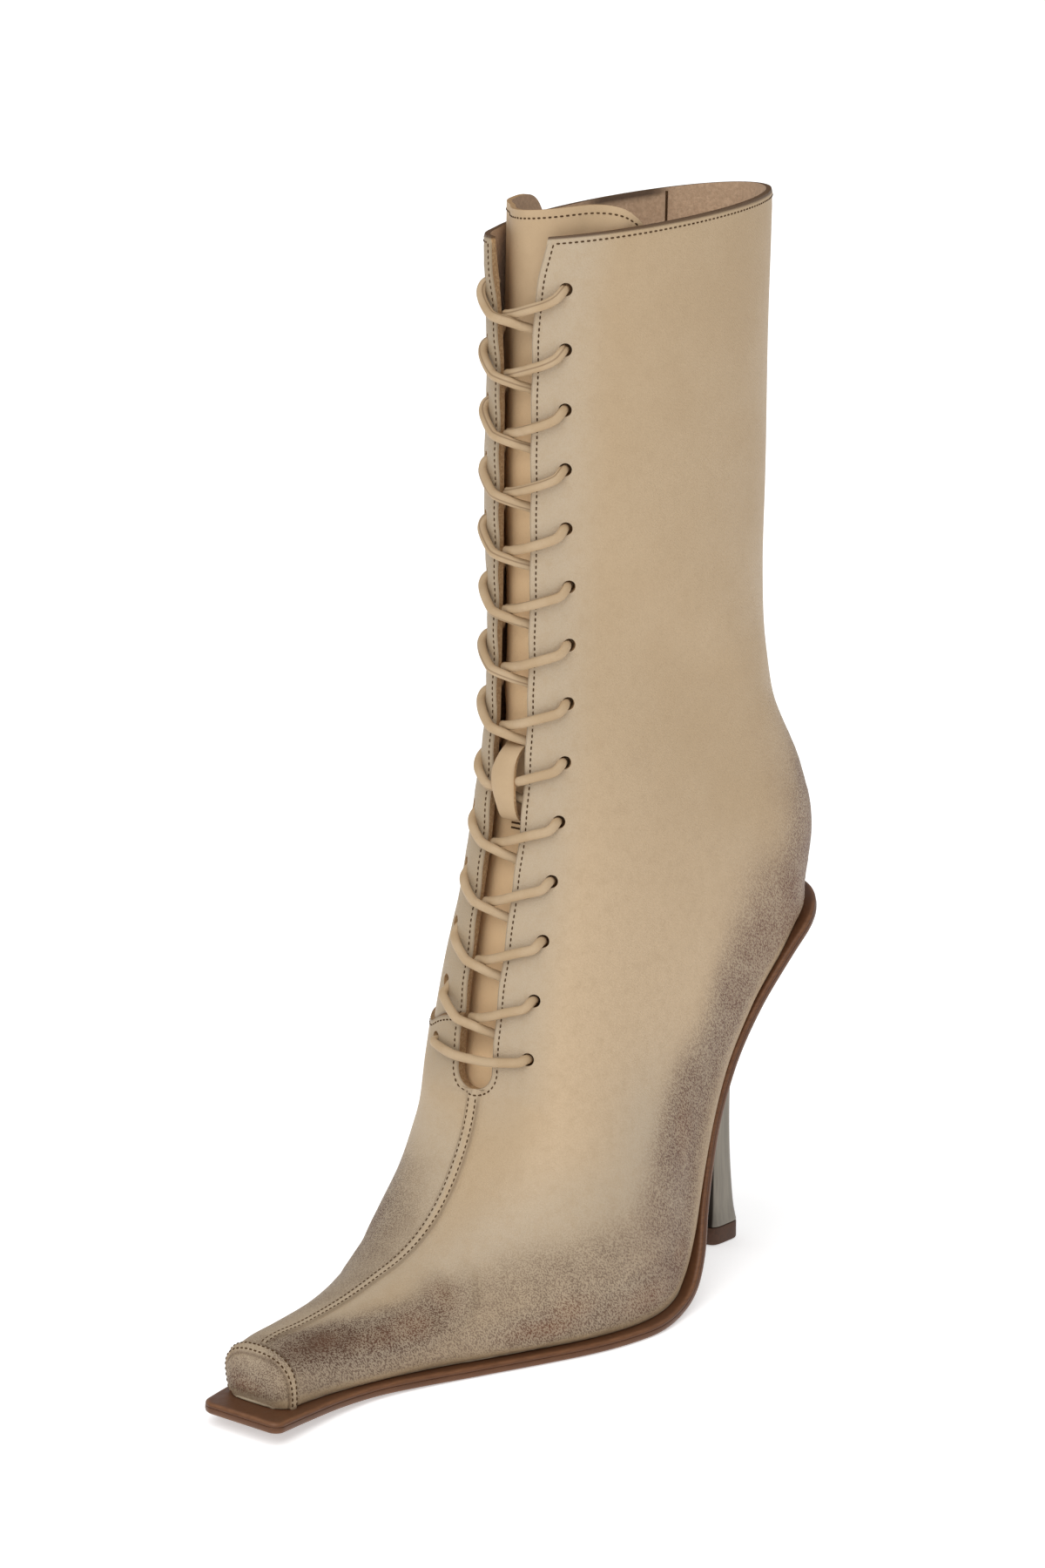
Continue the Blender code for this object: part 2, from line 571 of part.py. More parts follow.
def build_heel(material, parent):
    """The heel: a slim stem that swells towards a seat cut to the sole's underside."""
    steps = 6
    angles = np.linspace(0, np.pi, steps + 1)
    rings = []
    numbers = np.linspace(0, len(HEEL) - 1, 2 * len(HEEL) - 1)
    for number in numbers:
        ring = Ring(*smooth_rows(HEEL, number))
        share = (1 - np.sign(np.cos(angles)) * np.abs(np.cos(angles)) ** HEEL_POWER) / 2
        across = ring.half_width * np.clip(np.sin(angles), 0, 1) ** HEEL_POWER
        y = ring.front_y + (ring.back_y - ring.front_y) * share
        z = ring.front_z + (ring.back_z - ring.front_z) * share
        if number == numbers[-1]:
            z = sole_underside(y) - 2 * FIT_GAP
        points = list(zip(across, y, z))
        mirrored = [(-x, y, z) for x, y, z in points[-2:0:-1]]
        rings.append(points + mirrored)
    vertices, faces = loft(rings)
    faces.pop()
    count = len(rings[0])
    top = (len(rings) - 1) * count
    for place in range(steps):
        left = (count - place) % count
        after = count - place - 1
        corners = [top + place, top + place + 1, top + after, top + left]
        faces.append(tuple(dict.fromkeys(corners)))
    return new_object("heel", vertices, faces, material, parent)


def build_top_lift(material, parent):
    """The tip under the heel, flat on the floor."""
    tip = HEEL[0]
    angles = np.linspace(0, 2 * np.pi, 16, endpoint=False)
    middle = (tip.front_y + tip.back_y) / 2
    half_depth = (tip.back_y - tip.front_y) / 2
    rings = []
    for z in (0.0, LIFT_HEIGHT):
        rings.append([(tip.half_width * np.sign(np.sin(a)) * np.abs(np.sin(a)) ** HEEL_POWER,
                       middle - half_depth * np.sign(np.cos(a)) * np.abs(np.cos(a)) ** HEEL_POWER, z)
                      for a in angles])
    return new_object("top_lift", *loft(rings), material, parent)


def tongue_place(v, u):
    """Section number and t of a place on the tongue: v runs up it, u across it."""
    corner = np.where(u >= 0, TONGUE_OUT_CORNER, TONGUE_IN_CORNER)
    top = section_of_tongue_top() - TONGUE_DROP * np.abs(u) ** corner
    s = TONGUE_FOOT_ROW + (top - TONGUE_FOOT_ROW) * v
    widest = np.where(u >= 0, TONGUE_OUT_T, TONGUE_IN_T)
    t = u * (TONGUE_FOOT_T + (widest - TONGUE_FOOT_T) * ease(v, 0.0, TONGUE_WIDE_AT))
    return s, t


def section_of_tongue_top():
    """Section number of the tongue's upper edge."""
    numbers = np.linspace(COLLAR_ROW, len(SECTIONS) - 1, 50)
    return float(np.interp(TONGUE_TOP_Z, smooth_rows(SECTIONS, numbers)[:, 1], numbers))


def tongue_face(v, u, behind=0.0):
    """A point of the tongue's front face, or behind it; the face leaves room for the lace."""
    s, t = tongue_place(v, u)
    point = skin(s, t)
    distance = np.abs(point[..., 0] - section_at(s).centre)
    fade = 1 - ease(distance, LACE_SPACE_HALF, LACE_SPACE_HALF + LACE_SPACE_FADE)
    room = LACE_SPACE * ease(v, 0.03, 0.11) * fade
    return point - skin_normal(s, t) * (WALL + TONGUE_GAP + room + behind)[..., None]


def build_tongue(material, parent):
    """The wide tongue: a curved leather sheet behind the facings that stands above the collar."""
    along = np.concatenate([np.linspace(0, 0.24, 8), np.linspace(0.3, 0.88, 7), np.linspace(0.92, 1, 4)])
    outer_side = np.array([0.25, 0.5, 0.68, 0.8, 0.9, 0.96, 1.0])
    inner_side = np.array([-1.0, -0.97, -0.92, -0.84, -0.7, -0.5, -0.25])
    across = np.concatenate([inner_side, [0.0], outer_side])
    v, u = np.meshgrid(along, across, indexing="ij")
    front = tongue_face(v, u)
    rear = tongue_face(v, u, np.full(v.shape, TONGUE_THICKNESS))
    rings = []
    for level in range(len(along)):
        rings.append(list(front[level]) + list(rear[level][::-1]))
    count = len(across)
    vertices, faces = loft(rings)
    del faces[-2:]
    for start in (0, (len(along) - 1) * 2 * count):
        for place in range(count - 1):
            back = 2 * count - 1 - place
            faces.append((start + place, start + place + 1, start + back - 1, start + back))
    return new_object("tongue", vertices, faces, material, parent)


def front_frame(z):
    """Point and outward direction on the front centre line of the bare upper at a height."""
    s = section_of_height(z, 0.01, 1)
    return Vector(skin(s, 0.0)), Vector(skin_normal(s, 0.001))


def build_tongue_loop(material, parent):
    """The small keeper on the tongue: a strap that bows out over one crossing of the lace."""
    depth = WALL + TONGUE_GAP + LACE_SPACE - 2 * FIT_GAP
    steps = 10
    rings = []
    for part in np.linspace(0, 1, steps + 1):
        middle, out = front_frame(LOOP_FOOT_Z + (LOOP_HEAD_Z - LOOP_FOOT_Z) * part)
        low = LOOP_BOW * np.sin(np.pi * part) ** 0.5 - depth
        high = low + LOOP_THICKNESS
        ring = []
        for x, height in ((LOOP_HALF_WIDTH, low), (LOOP_HALF_WIDTH, high),
                          (-LOOP_HALF_WIDTH, high), (-LOOP_HALF_WIDTH, low)):
            ring.append(middle + out * height + Vector((LOOP_X + x, 0, 0)))
        rings.append(ring)
    return new_object("tongue_loop", *loft(rings), material, parent)


def tube(points, radius, sides=6):
    """Rings of a round bar through points."""
    rings = []
    for place, point in enumerate(points):
        before = points[max(place - 1, 0)]
        after = points[min(place + 1, len(points) - 1)]
        along = (after - before).normalized()
        first = along.cross(Vector((0, 0.3, 1))).normalized()
        second = along.cross(first)
        rings.append([point + radius * (first * np.cos(angle) + second * np.sin(angle))
                      for angle in np.arange(sides) * 2 * np.pi / sides])
    return loft(rings)


def lace_point(distance, z, height):
    """A point above the upper's front, this far to one side of its centre line."""
    side = 1 if distance >= 0 else -1
    s = section_of_height(z, abs(distance) + 0.01, side)
    t = side_place(s, abs(distance) + 0.01, side)
    return Vector(skin(s, t)) + Vector(skin_normal(s, t)) * height


def build_lace_bar(name, stops, material, parent):
    """One run of lace, given by distance from the centre line, height up the boot and lift."""
    points = [lace_point(*stop) for stop in stops]
    return new_object(name, *tube(points, LACE_RADIUS), material, parent)


def build_laces(material, parent):
    """Thirteen crossings, each of two joined bars, and the plain bar at the throat's foot."""
    for row in range(EYELET_ROWS - 1):
        distance, z = eyelet_row(row)
        bars = []
        for side, run in ((1, OUTER_RUN), (-1, INNER_RUN)):
            over_panel = OVERLAY_RAISE * (side < 0 and row == EYELET_ROWS - 2)
            stops = [(side * (distance - EYELET_RADIUS), z - LACE_FIRST_DROP, LACE_REST)]
            for stop in run:
                climb = over_panel * ease(stop.x, OVERLAY_START, OVERLAY_FULL)
                stops.append((side * stop.x, z - stop.drop, LACE_REST + stop.sink + climb))
            name = f"lace_cross_{row + 1:02d}" if side > 0 else f"lace_over_{row + 1:02d}"
            bars.append(build_lace_bar(name, stops, material, parent))
        hide_helper(bars[1])
        add_boolean(bars[0], bars[1], "UNION")
    distance, z = eyelet_row(EYELET_ROWS - 1)
    reach = distance - EYELET_RADIUS
    stops = []
    for x in np.linspace(reach, -reach, 9):
        sag = LACE_SAG * (1 - (x / reach) ** 2)
        stops.append((x, z - sag, LACE_REST + FIT_GAP + OVERLAY_RAISE * ease(-x, 0, OVERLAY_FULL)))
    build_lace_bar("lace_bar", stops, material, parent)


def footprint_centre(things):
    """Middle of the pieces' footprint in X and Y."""
    corners = np.array([corner[:] for thing in things for corner in thing.bound_box])
    middle = (corners.min(axis=0) + corners.max(axis=0)) / 2
    return middle[:2]


def main():
    """Builds the boot."""
    for thing in list(bpy.data.objects):
        bpy.data.objects.remove(thing)
    root = bpy.data.objects.new("boot", None)
    bpy.context.collection.objects.link(root)
    leather = make_material("leather", LEATHER, 0.55)
    brown = make_material("sole_leather", SOLE_BROWN, 0.45)
    lining = make_material("lining", LINING, 0.8)
    metal = make_material("heel_metal", HEEL_METAL, 0.35, 1.0)
    lace = make_material("lace", LACE_TAN, 0.5)
    upper = build_upper(leather, root)
    outsole = build_outsole(brown, root)
    build_insole(lining, root)
    build_heel(metal, root)
    build_top_lift(brown, root)
    build_tongue(leather, root)
    build_tongue_loop(leather, root)
    build_laces(lace, root)
    middle_x, middle_y = footprint_centre([upper, outsole])
    root.location = (-middle_x, -middle_y, 0.0)


main()
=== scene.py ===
"""Looks of the tall lace-up boot: grained leather, stitches, a lace through its eyelets, sole and heel.

Sizes are millimetres in the boot's own directions, as in the part's source: +X to the outer side of the
foot, +Y to the back and +Z up, with the heel's tip at X = 0, Y = 0. to_frame() takes them to the frame.
"""
import math
from collections import namedtuple

import bmesh
import bpy
import numpy as np
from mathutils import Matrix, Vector
from mathutils.bvhtree import BVHTree
from mathutils.kdtree import KDTree


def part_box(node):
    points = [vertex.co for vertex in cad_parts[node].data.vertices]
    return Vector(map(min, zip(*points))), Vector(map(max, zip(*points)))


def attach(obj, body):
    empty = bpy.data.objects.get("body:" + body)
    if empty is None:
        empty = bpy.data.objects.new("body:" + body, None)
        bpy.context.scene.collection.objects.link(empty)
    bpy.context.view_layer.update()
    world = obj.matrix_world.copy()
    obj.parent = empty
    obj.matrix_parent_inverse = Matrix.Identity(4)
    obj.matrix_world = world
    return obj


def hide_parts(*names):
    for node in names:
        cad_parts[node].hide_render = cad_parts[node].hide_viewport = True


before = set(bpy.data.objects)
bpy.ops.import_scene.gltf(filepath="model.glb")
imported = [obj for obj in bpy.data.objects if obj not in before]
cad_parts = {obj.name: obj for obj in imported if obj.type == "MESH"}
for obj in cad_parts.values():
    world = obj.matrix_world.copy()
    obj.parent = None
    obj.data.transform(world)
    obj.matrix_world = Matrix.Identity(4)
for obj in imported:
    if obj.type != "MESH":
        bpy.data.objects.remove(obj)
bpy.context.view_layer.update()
MM = 0.001

# Sizes of the part, in millimetres
WALL = 2.0                  # leather and lining of the upper
SEAT_GAP = 0.4              # air between the upper's lower edge and the sole
SOLE_THICKNESS = 3.5
TOE_CORNER = 4.0
HEEL_END = 24.0
INSOLE_THICKNESS = 2.0
INSOLE_MARGIN = 1.2
INSOLE_GAP = 0.3            # air between the insole and the seat
INSOLE_EDGE = 0.6           # share of its thickness by which its edges turn down
INSOLE_FROM = 3.4           # sections between which it lies
INSOLE_TO = 21.5
LIFT_HEIGHT = 6.0
TONGUE_THICKNESS = 1.6
TONGUE_TOP_Z = 348.8
TONGUE_GAP = 0.95
TONGUE_FOOT_T = 0.075
TONGUE_OUT_T = 0.375
TONGUE_IN_T = 0.47
TONGUE_WIDE_AT = 0.55
TONGUE_DROP = 0.95
TONGUE_OUT_CORNER = 8.5
TONGUE_IN_CORNER = 20.0
LOOP_X = 0.6
LOOP_HALF_WIDTH = 3.6
LOOP_THICKNESS = 1.3
LOOP_FOOT_Z = 163.0
LOOP_HEAD_Z = 187.0
LOOP_BOW = 8.4
LACE_RADIUS = 1.5
LACE_SPACE = 3.2
LACE_SPACE_HALF = 20.0
LACE_SPACE_FADE = 7.0
THROAT_HALF_GAP = 6.2
THROAT_SPREAD = 4.0
THROAT_SPREAD_ROWS = 2.0
EYELET_ROWS = 14
EYELET_RADIUS = 2.0
EYELET_SIDES = 28
EYELET_CUT = (-5.0, 3.0)    # from where to where its cutter reaches, outward
EYELET_X = 15.2
EYELET_FLARE = 0.22
EYELET_TOP_Z = 326.5
EYELET_PITCH = 18.0
OVERLAY_RAISE = 1.1         # vamp panel that lies over the inner quarter
OVERLAY_START = 3.0         # distance from the centre line at which the lace begins to climb on it
OVERLAY_FULL = 6.4          # and at which it lies on it

# Sections of the upper's outer face along the foot, from the toe's front edge to the back of the heel.
# Each lies in a plane through a point on the front centre line and a point on the sole's seat at base_y.
# centre is the X of the front point, wide_* the widest place and base_* the lower edge on the outer and
# the inner side. wide_at is how far down the section it is widest, power below 1 makes its top squarer,
# and turn is how far in degrees its lower side curls under.
FootSection = namedtuple("FootSection", "front_y front_z base_y centre wide_out wide_in "
                                        "base_out base_in wide_at power turn")
FOOT_SECTIONS = [FootSection(*row) for row in (
    (-219.0, 7.6, -219.0, -2.6, 2.4, -6.6, 4.6, -8.6, 0.50, 0.80, 70),
    (-220.4, 12.3, -218.4, -2.6, 6.7, -11.2, 6.5, -10.8, 0.55, 0.76, 65),
    (-219.6, 18.0, -216.9, -2.6, 8.6, -13.6, 8.1, -13.0, 0.60, 0.76, 60),
    (-216.0, 22.4, -214.4, -2.6, 9.4, -15.2, 8.7, -14.5, 0.60, 0.78, 58),
    (-209.0, 24.6, -206.5, -2.8, 9.4, -16.9, 8.2, -15.9, 0.60, 0.80, 58),
    (-196.0, 24.8, -192.0, -3.1, 10.2, -20.2, 8.3, -18.4, 0.60, 0.84, 58),
    (-178.0, 27.0, -173.0, -3.6, 13.4, -23.8, 10.8, -21.6, 0.60, 0.98, 58),
    (-162.5, 30.4, -157.0, -3.7, 18.6, -28.2, 15.0, -25.4, 0.62, 1.06, 58),
    (-151.0, 34.0, -142.0, -3.2, 25.4, -33.6, 21.2, -29.4, 0.66, 1.06, 58),
    (-141.5, 40.0, -126.0, -2.3, 32.0, -37.0, 27.8, -32.2, 0.70, 0.93, 58),
    (-133.0, 49.0, -110.0, -1.6, 37.6, -39.0, 34.0, -34.4, 0.72, 0.83, 58),
    (-126.5, 59.5, -94.0, -1.2, 41.0, -39.2, 37.8, -34.4, 0.74, 0.79, 58),
    (-122.0, 70.0, -79.0, -1.0, 41.6, -39.4, 38.4, -31.8, 0.74, 0.77, 58),
    (-119.9, 80.5, -66.5, -0.8, 40.2, -38.2, 36.3, -28.2, 0.73, 0.76, 58),
    (-118.6, 95.0, -57.0, -0.6, 37.8, -37.4, 32.8, -25.0, 0.70, 0.75, 60),
    (-116.6, 111.0, -49.0, -0.4, 35.4, -36.2, 28.9, -22.6, 0.66, 0.75, 60),
    (-113.6, 127.0, -41.5, -0.2, 33.6, -34.6, 25.4, -21.0, 0.62, 0.76, 60),
    (-110.6, 143.0, -33.0, 0.0, 32.4, -31.8, 23.0, -20.0, 0.60, 0.77, 62),
    (-107.6, 158.5, -23.0, 0.2, 31.6, -30.6, 22.2, -19.6, 0.60, 0.76, 64),
    (-106.0, 172.0, -9.5, 0.4, 31.2, -29.6, 22.6, -20.2, 0.60, 0.76, 68),
    (-105.0, 183.0, 6.0, 0.4, 30.8, -28.8, 22.6, -20.4, 0.60, 0.76, 74),
    (-104.4, 191.5, 21.0, 0.4, 30.6, -28.4, 18.4, -16.0, 0.61, 0.76, 82),
    (-104.1, 198.0, 29.6, 0.4, 30.6, -28.2, 9.2, -7.2, 0.62, 0.76, 88),
)]

# Sections of the shaft, closed rings from the back of the heel to above the collar
ShaftSection = namedtuple("ShaftSection", "front_y front_z back_y back_z centre wide_out wide_in wide_at "
                                          "power")
SHAFT_SECTIONS = [ShaftSection(*row) for row in (
    (-103.9, 204.5, 33.6, 117.2, 0.4, 30.8, -28.8, 0.62, 0.76),
    (-103.7, 212.0, 35.0, 121.5, 0.5, 30.8, -29.0, 0.62, 0.76),
    (-103.6, 220.0, 36.8, 132.5, 0.5, 30.7, -29.2, 0.61, 0.77),
    (-103.5, 228.0, 33.6, 148.0, 0.6, 30.6, -29.4, 0.59, 0.80),
    (-103.4, 236.5, 24.4, 164.5, 0.7, 31.0, -29.8, 0.57, 0.84),
    (-103.4, 245.5, 13.2, 181.5, 0.8, 32.2, -30.3, 0.55, 0.87),
    (-103.4, 255.0, 6.6, 200.0, 0.9, 33.6, -30.7, 0.53, 0.90),
    (-103.4, 268.0, 4.8, 222.0, 1.0, 34.7, -31.0, 0.51, 0.93),
    (-103.3, 286.0, 5.6, 251.0, 1.0, 35.0, -31.0, 0.50, 0.95),
    (-102.9, 307.0, 6.4, 286.0, 1.0, 35.0, -31.0, 0.50, 0.96),
    (-102.2, 326.0, 7.2, 318.0, 1.0, 35.0, -31.0, 0.50, 0.96),
    (-101.6, 341.0, 8.0, 347.5, 1.0, 35.0, -31.0, 0.50, 0.96),
    (-101.0, 366.0, 8.6, 372.0, 1.0, 35.0, -31.0, 0.50, 0.96),
)]
Section = namedtuple("Section", "front_y front_z base_y base_z centre wide_out wide_in "
                                "base_out base_in wide_at power turn")
CAP_SEAM_ROW = 3.0          # section along the toe cap's seam
TONGUE_FOOT_ROW = 11.8
THROAT_ROW = 13.0           # section where the facings part
HEEL_BACK_ROW = 23.0        # section where the two sides close up the back
COLLAR_ROW = 34.0
COLLAR_TILT = 0.07
COLLAR_TILT_ROWS = 4.0
OVERLAY_ROW = 14.5
OVERLAY_RISE = 1.0          # how many sections the vamp panel's edge climbs round the inner side
OVERLAY_CLIMB = (0.15, 0.35)  # between which t, without its sign
OVERLAY_END = -0.86         # t where its stitch row ends
LINING_SEAM_T = -0.778      # the upright seam of the lining
LINING_SEAM_FOOT = 29.0     # section where it starts
LINING_SEAM_RADIUS = 0.4

# Stations of the sole's underside, from the toe to the back end
Station = namedtuple("Station", "y z out_x in_x")
SOLE = [Station(*row) for row in (
    (-229.0, 4.0, 16.5, -14.5),
    (-212.0, 2.8, 14.0, -19.5),
    (-196.0, 1.8, 12.4, -22.6),
    (-180.0, 0.9, 13.0, -25.2),
    (-165.0, 0.3, 16.8, -27.8),
    (-148.0, 0.0, 23.2, -31.0),
    (-128.0, 0.0, 31.4, -34.8),
    (-110.0, 0.0, 38.2, -37.3),
    (-95.0, 0.0, 41.8, -37.5),
    (-80.0, 0.2, 42.8, -35.0),
    (-66.0, 1.9, 40.3, -31.2),
    (-56.0, 6.4, 37.8, -28.0),
    (-48.0, 15.0, 34.5, -25.6),
    (-41.0, 26.8, 30.2, -23.6),
    (-34.0, 40.2, 26.8, -22.2),
    (-27.0, 54.0, 24.6, -21.4),
    (-18.0, 70.0, 23.9, -21.4),
    (-7.0, 84.3, 24.3, -22.2),
    (5.0, 96.0, 25.0, -23.0),
    (17.0, 105.2, 25.0, -23.2),
    (28.0, 110.4, 24.0, -22.5),
    (38.5, 113.8, 23.0, -22.0),
)]

# Rings of the heel, from its tip to just below the sole
Ring = namedtuple("Ring", "front_y front_z back_y back_z half_width")
HEEL = [Ring(*row) for row in (
    (-7.6, 6.3, 6.6, 6.3, 6.2),
    (-6.0, 14.0, 5.4, 14.0, 5.2),
    (-5.0, 32.0, 4.4, 32.0, 4.3),
    (-5.9, 48.0, 4.0, 52.0, 4.5),
    (-9.0, 61.0, 4.4, 70.0, 5.8),
    (-13.5, 69.0, 7.0, 87.0, 8.4),
    (-20.0, 66.5, 13.0, 102.0, 12.5),
)]
HEEL_POWER = 0.45           # lower numbers make its rings squarer
HEEL_SIDES = 56
HEEL_LEVELS = 49
HEEL_GAP = 0.25             # air between the heel and the sole
# the dark front face is painted shade and painted reflection of the sole above it
BREAST_EDGE = (0.87, 0.93)  # where its dark front face begins, as shares of the way ahead

# The camera, from the photograph
CAMERA_AZIMUTH = 40.0
CAMERA_ELEVATION = 14.122
CAMERA_DISTANCE = 1500.0
CAMERA_TARGET = (-7.4, -88.9, 170.0)
CAMERA_LENS = 111.6
SENSOR = 36.0

# Floor and lights, in metres
FLOOR_GLOW = 0.46           # a little light in the floor, as on a light table
FLOOR_SIZE = 40.0           # half its width, so that its edge never shows
FLOOR_GAP = 0.0002          # how far it lies below the sole
WORLD_STRENGTH = 0.43
KEY_FROM = (0.30, -0.75, 1.30)
KEY_SPREAD = 60.0           # degrees
KEY_STRENGTH = 1.42
FRONT_PLACE = (0.45, -1.5, 0.9)
FRONT_AIM = (0.0, 0.0, 0.16)
FRONT_SIZE = 0.9
FRONT_POWER = 2.5

# Relief of seams and edges
SEAM_RAISE = 0.75           # raised strip along the toe's centre seam
SEAM_ROW = 1.35             # distance of its stitch rows from the seam, at its upper end
SEAM_TOE_SHARE = 0.62       # and as a share of that by the toe cap
EDGE_ROW = 2.0              # distance of the other stitch rows from their edges
CAP_ROW = 0.95              # distance of its stitch rows from the toe cap's seam
CAP_ROW_END = 0.93          # t where they end
STITCH_PITCH = 1.8
STITCH_LENGTH = 1.25
STITCH_RADIUS = 0.29

# Soft troughs in the leather: two ends as section number and t, their half width and their depth
Crease = namedtuple("Crease", "s_from t_from s_to t_to width depth")
CREASES = [Crease(*row) for row in (
    (8.9, 0.16, 7.6, 0.44, 2.0, 1.25),
    (8.2, 0.14, 7.0, 0.40, 1.8, 1.05),
    (7.2, 0.25, 6.6, 0.70, 2.0, 0.70),
    (9.8, 0.34, 8.6, 0.74, 2.6, 0.80),
    (10.9, 0.42, 9.6, 0.80, 3.0, 0.45),
    (9.0, -0.24, 8.0, -0.62, 3.2, 0.30),
    (7.6, -0.26, 7.0, -0.66, 2.6, 0.25),
    (24.6, 0.30, 25.6, 0.78, 7.0, 0.60),
    (26.6, 0.34, 27.0, 0.84, 8.0, 0.55),
    (22.4, 0.32, 24.0, 0.82, 7.0, 0.45),
    (24.6, -0.30, 25.6, -0.78, 7.0, 0.60),
    (26.6, -0.34, 27.0, -0.84, 8.0, 0.55),
    (29.6, 0.20, 30.6, 0.46, 9.0, 0.40),
    (31.6, -0.20, 30.6, -0.46, 9.0, 0.40),
)]

# The brown rub low on the foot: how far above the sole it reaches at a section, and how strong it is
RubEdge = namedtuple("RubEdge", "s reach strength")
OUTER_RUB = [RubEdge(*row) for row in (
    (0.0, 17.0, 0.30), (2.6, 19.0, 0.28), (3.3, 22.0, 0.26), (4.6, 26.0, 0.36),
    (5.7, 28.0, 0.34), (6.7, 31.0, 0.29), (8.2, 39.0, 0.26), (9.7, 46.0, 0.29),
    (11.5, 51.0, 0.29), (13.5, 53.0, 0.33), (15.0, 54.0, 0.42), (16.2, 51.0, 0.42),
    (18.1, 38.0, 0.42), (19.4, 42.0, 0.44), (20.8, 56.0, 0.44), (22.0, 62.0, 0.40),
    (24.3, 72.0, 0.33), (26.0, 78.0, 0.22), (28.5, 60.0, 0.0), (34.0, 30.0, 0.0),
)]
INNER_RUB = [RubEdge(*row) for row in (
    (0.0, 17.0, 0.30), (2.6, 19.0, 0.28), (3.3, 26.0, 0.26), (5.0, 32.0, 0.24),
    (6.7, 48.0, 0.30), (8.3, 62.0, 0.32), (9.5, 72.0, 0.34), (10.7, 80.0, 0.32),
    (13.0, 72.0, 0.28), (16.0, 48.0, 0.32), (20.0, 46.0, 0.36), (24.0, 60.0, 0.30),
    (26.0, 56.0, 0.20), (28.5, 40.0, 0.0), (34.0, 30.0, 0.0),
)]

# Darker patches in the rub: middle, reach in each direction, strength, and how reddish they are
Patch = namedtuple("Patch", "x y z reach_x reach_y reach_z strength red")
PATCHES = [Patch(*row) for row in (
    (5, -209, 23, 6, 7.5, 4.5, 0.92, 0.3),
    (7, -197, 22, 6, 10, 4, 0.80, 0.5),
    (11, -184, 19, 8, 12, 4.5, 0.60, 0.5),
    (12, -177, 19, 8, 11, 5, 0.30, 0.6),
    (14, -166, 20, 8, 12, 6, 0.26, 0.8),
    (15, -153, 26, 10, 6, 8, 0.18, 0.8),
    (33, -126, 12, 12, 20, 5, 0.34, 1.0),
    (36, -118, 17, 12, 12, 6, 0.16, 1.0),
    (41, -84, 13, 12, 22, 8, 0.40, 1.0),
    (36, -64, 20, 10, 12, 10, 0.26, 1.0),
    (34, -58, 58, 14, 12, 24, 0.20, 1.0),
    (30, -28, 96, 14, 14, 20, 0.16, 0.9),
    (20, 16, 126, 16, 20, 12, 0.18, 0.7),
    (22, 20, 150, 12, 14, 30, 0.48, 0.6),
    (-4, -221, 11, 9, 6, 5, 0.42, 0.9),
    (-30, -134, 34, 12, 14, 16, 0.14, 0.5),
    (27, -74, 181, 14, 5, 4, 0.06, 0.0),
)]


def smooth_rows(table, where):
    """Every column of a table at fractional row numbers, on a smooth curve through the rows."""
    rows = np.array(table, dtype=float)
    where = np.asarray(where, dtype=float)
    last = len(rows) - 1
    row = np.clip(np.floor(where), 0, last - 1).astype(int)
    part = (where - row)[..., None]
    before = rows[np.clip(row - 1, 0, last)]
    here = rows[row]
    after = rows[row + 1]
    beyond = rows[np.clip(row + 2, 0, last)]
    linear = after - before
    square = 2 * before - 5 * here + 4 * after - beyond
    cube = 3 * (here - after) + beyond - before
    return 0.5 * (2 * here + linear * part + square * part ** 2 + cube * part ** 3)


def ease(value, start, end):
    """Smooth step from 0 at start to 1 at end."""
    part = np.clip((value - start) / (end - start), 0.0, 1.0)
    return part * part * (3 - 2 * part)


def hump(value, width):
    """Bell curve of height 1 round 0."""
    return np.exp(-(value / width) ** 2)


def unit(vectors):
    """Vectors of length 1."""
    return vectors / np.linalg.norm(vectors, axis=-1, keepdims=True)


def lengths_along(points):
    """Distances along a line of points, from its first."""
    return np.concatenate([[0.0], np.cumsum(np.linalg.norm(np.diff(points, axis=0), axis=1))])


def read_along(where, length, values):
    """Rows of values at distances along a line."""
    return np.stack([np.interp(where, length, column) for column in values.T], axis=-1)


def grid_quads(number):
    """Four-sided faces between the rows and columns of a grid of vertex numbers."""
    corners = [number[:-1, :-1], number[:-1, 1:], number[1:, 1:], number[1:, :-1]]
    return np.stack(corners, axis=-1).reshape(-1, 4)


def ring_angles(count, first=0.0):
    """Even angles round a ring; first is where it starts, in steps."""
    return (np.arange(count) + first) * 2 * np.pi / count


def ring_faces(levels, count):
    """Faces of a closed solid through rings of points; its two flat ends come last."""
    number = np.arange(levels * count).reshape(levels, count)
    sides = grid_quads(np.concatenate([number, number[:, :1]], axis=1))
    return sides.tolist() + [number[0].tolist(), number[-1].tolist()]


def joined(parts):
    """Several pairs of points and faces as one pair."""
    points = []
    faces = []
    for part_points, part_faces in parts:
        start = len(points)
        faces.extend([start + corner for corner in face] for face in part_faces)
        points.extend(part_points)
    return points, faces


SOLE_LINE = smooth_rows(SOLE, np.linspace(0, len(SOLE) - 1, 600))


def seat_curve():
    """The line along the boot on which the upper and the insole sit."""
    along_y = np.gradient(SOLE_LINE[:, 0])
    along_z = np.gradient(SOLE_LINE[:, 1])
    lift = (SOLE_THICKNESS + SEAT_GAP) / np.hypot(along_y, along_z)
    return SOLE_LINE[:, 0] - along_z * lift, SOLE_LINE[:, 1] + along_y * lift


SEAT_Y, SEAT_Z = seat_curve()


def sole_seat(y):
    """Height of the seat at a place along the boot."""
    return np.interp(y, SEAT_Y, SEAT_Z)


def all_sections():
    """Foot and shaft sections as one table."""
    table = []
    for row in FOOT_SECTIONS:
        table.append(Section(row.front_y, row.front_z, row.base_y, sole_seat(row.base_y), *row[3:]))
    for row in SHAFT_SECTIONS:
        table.append(Section(*row[:7], row.centre, row.centre, row.wide_at, row.power, 90.0))
    return table


SECTIONS = all_sections()


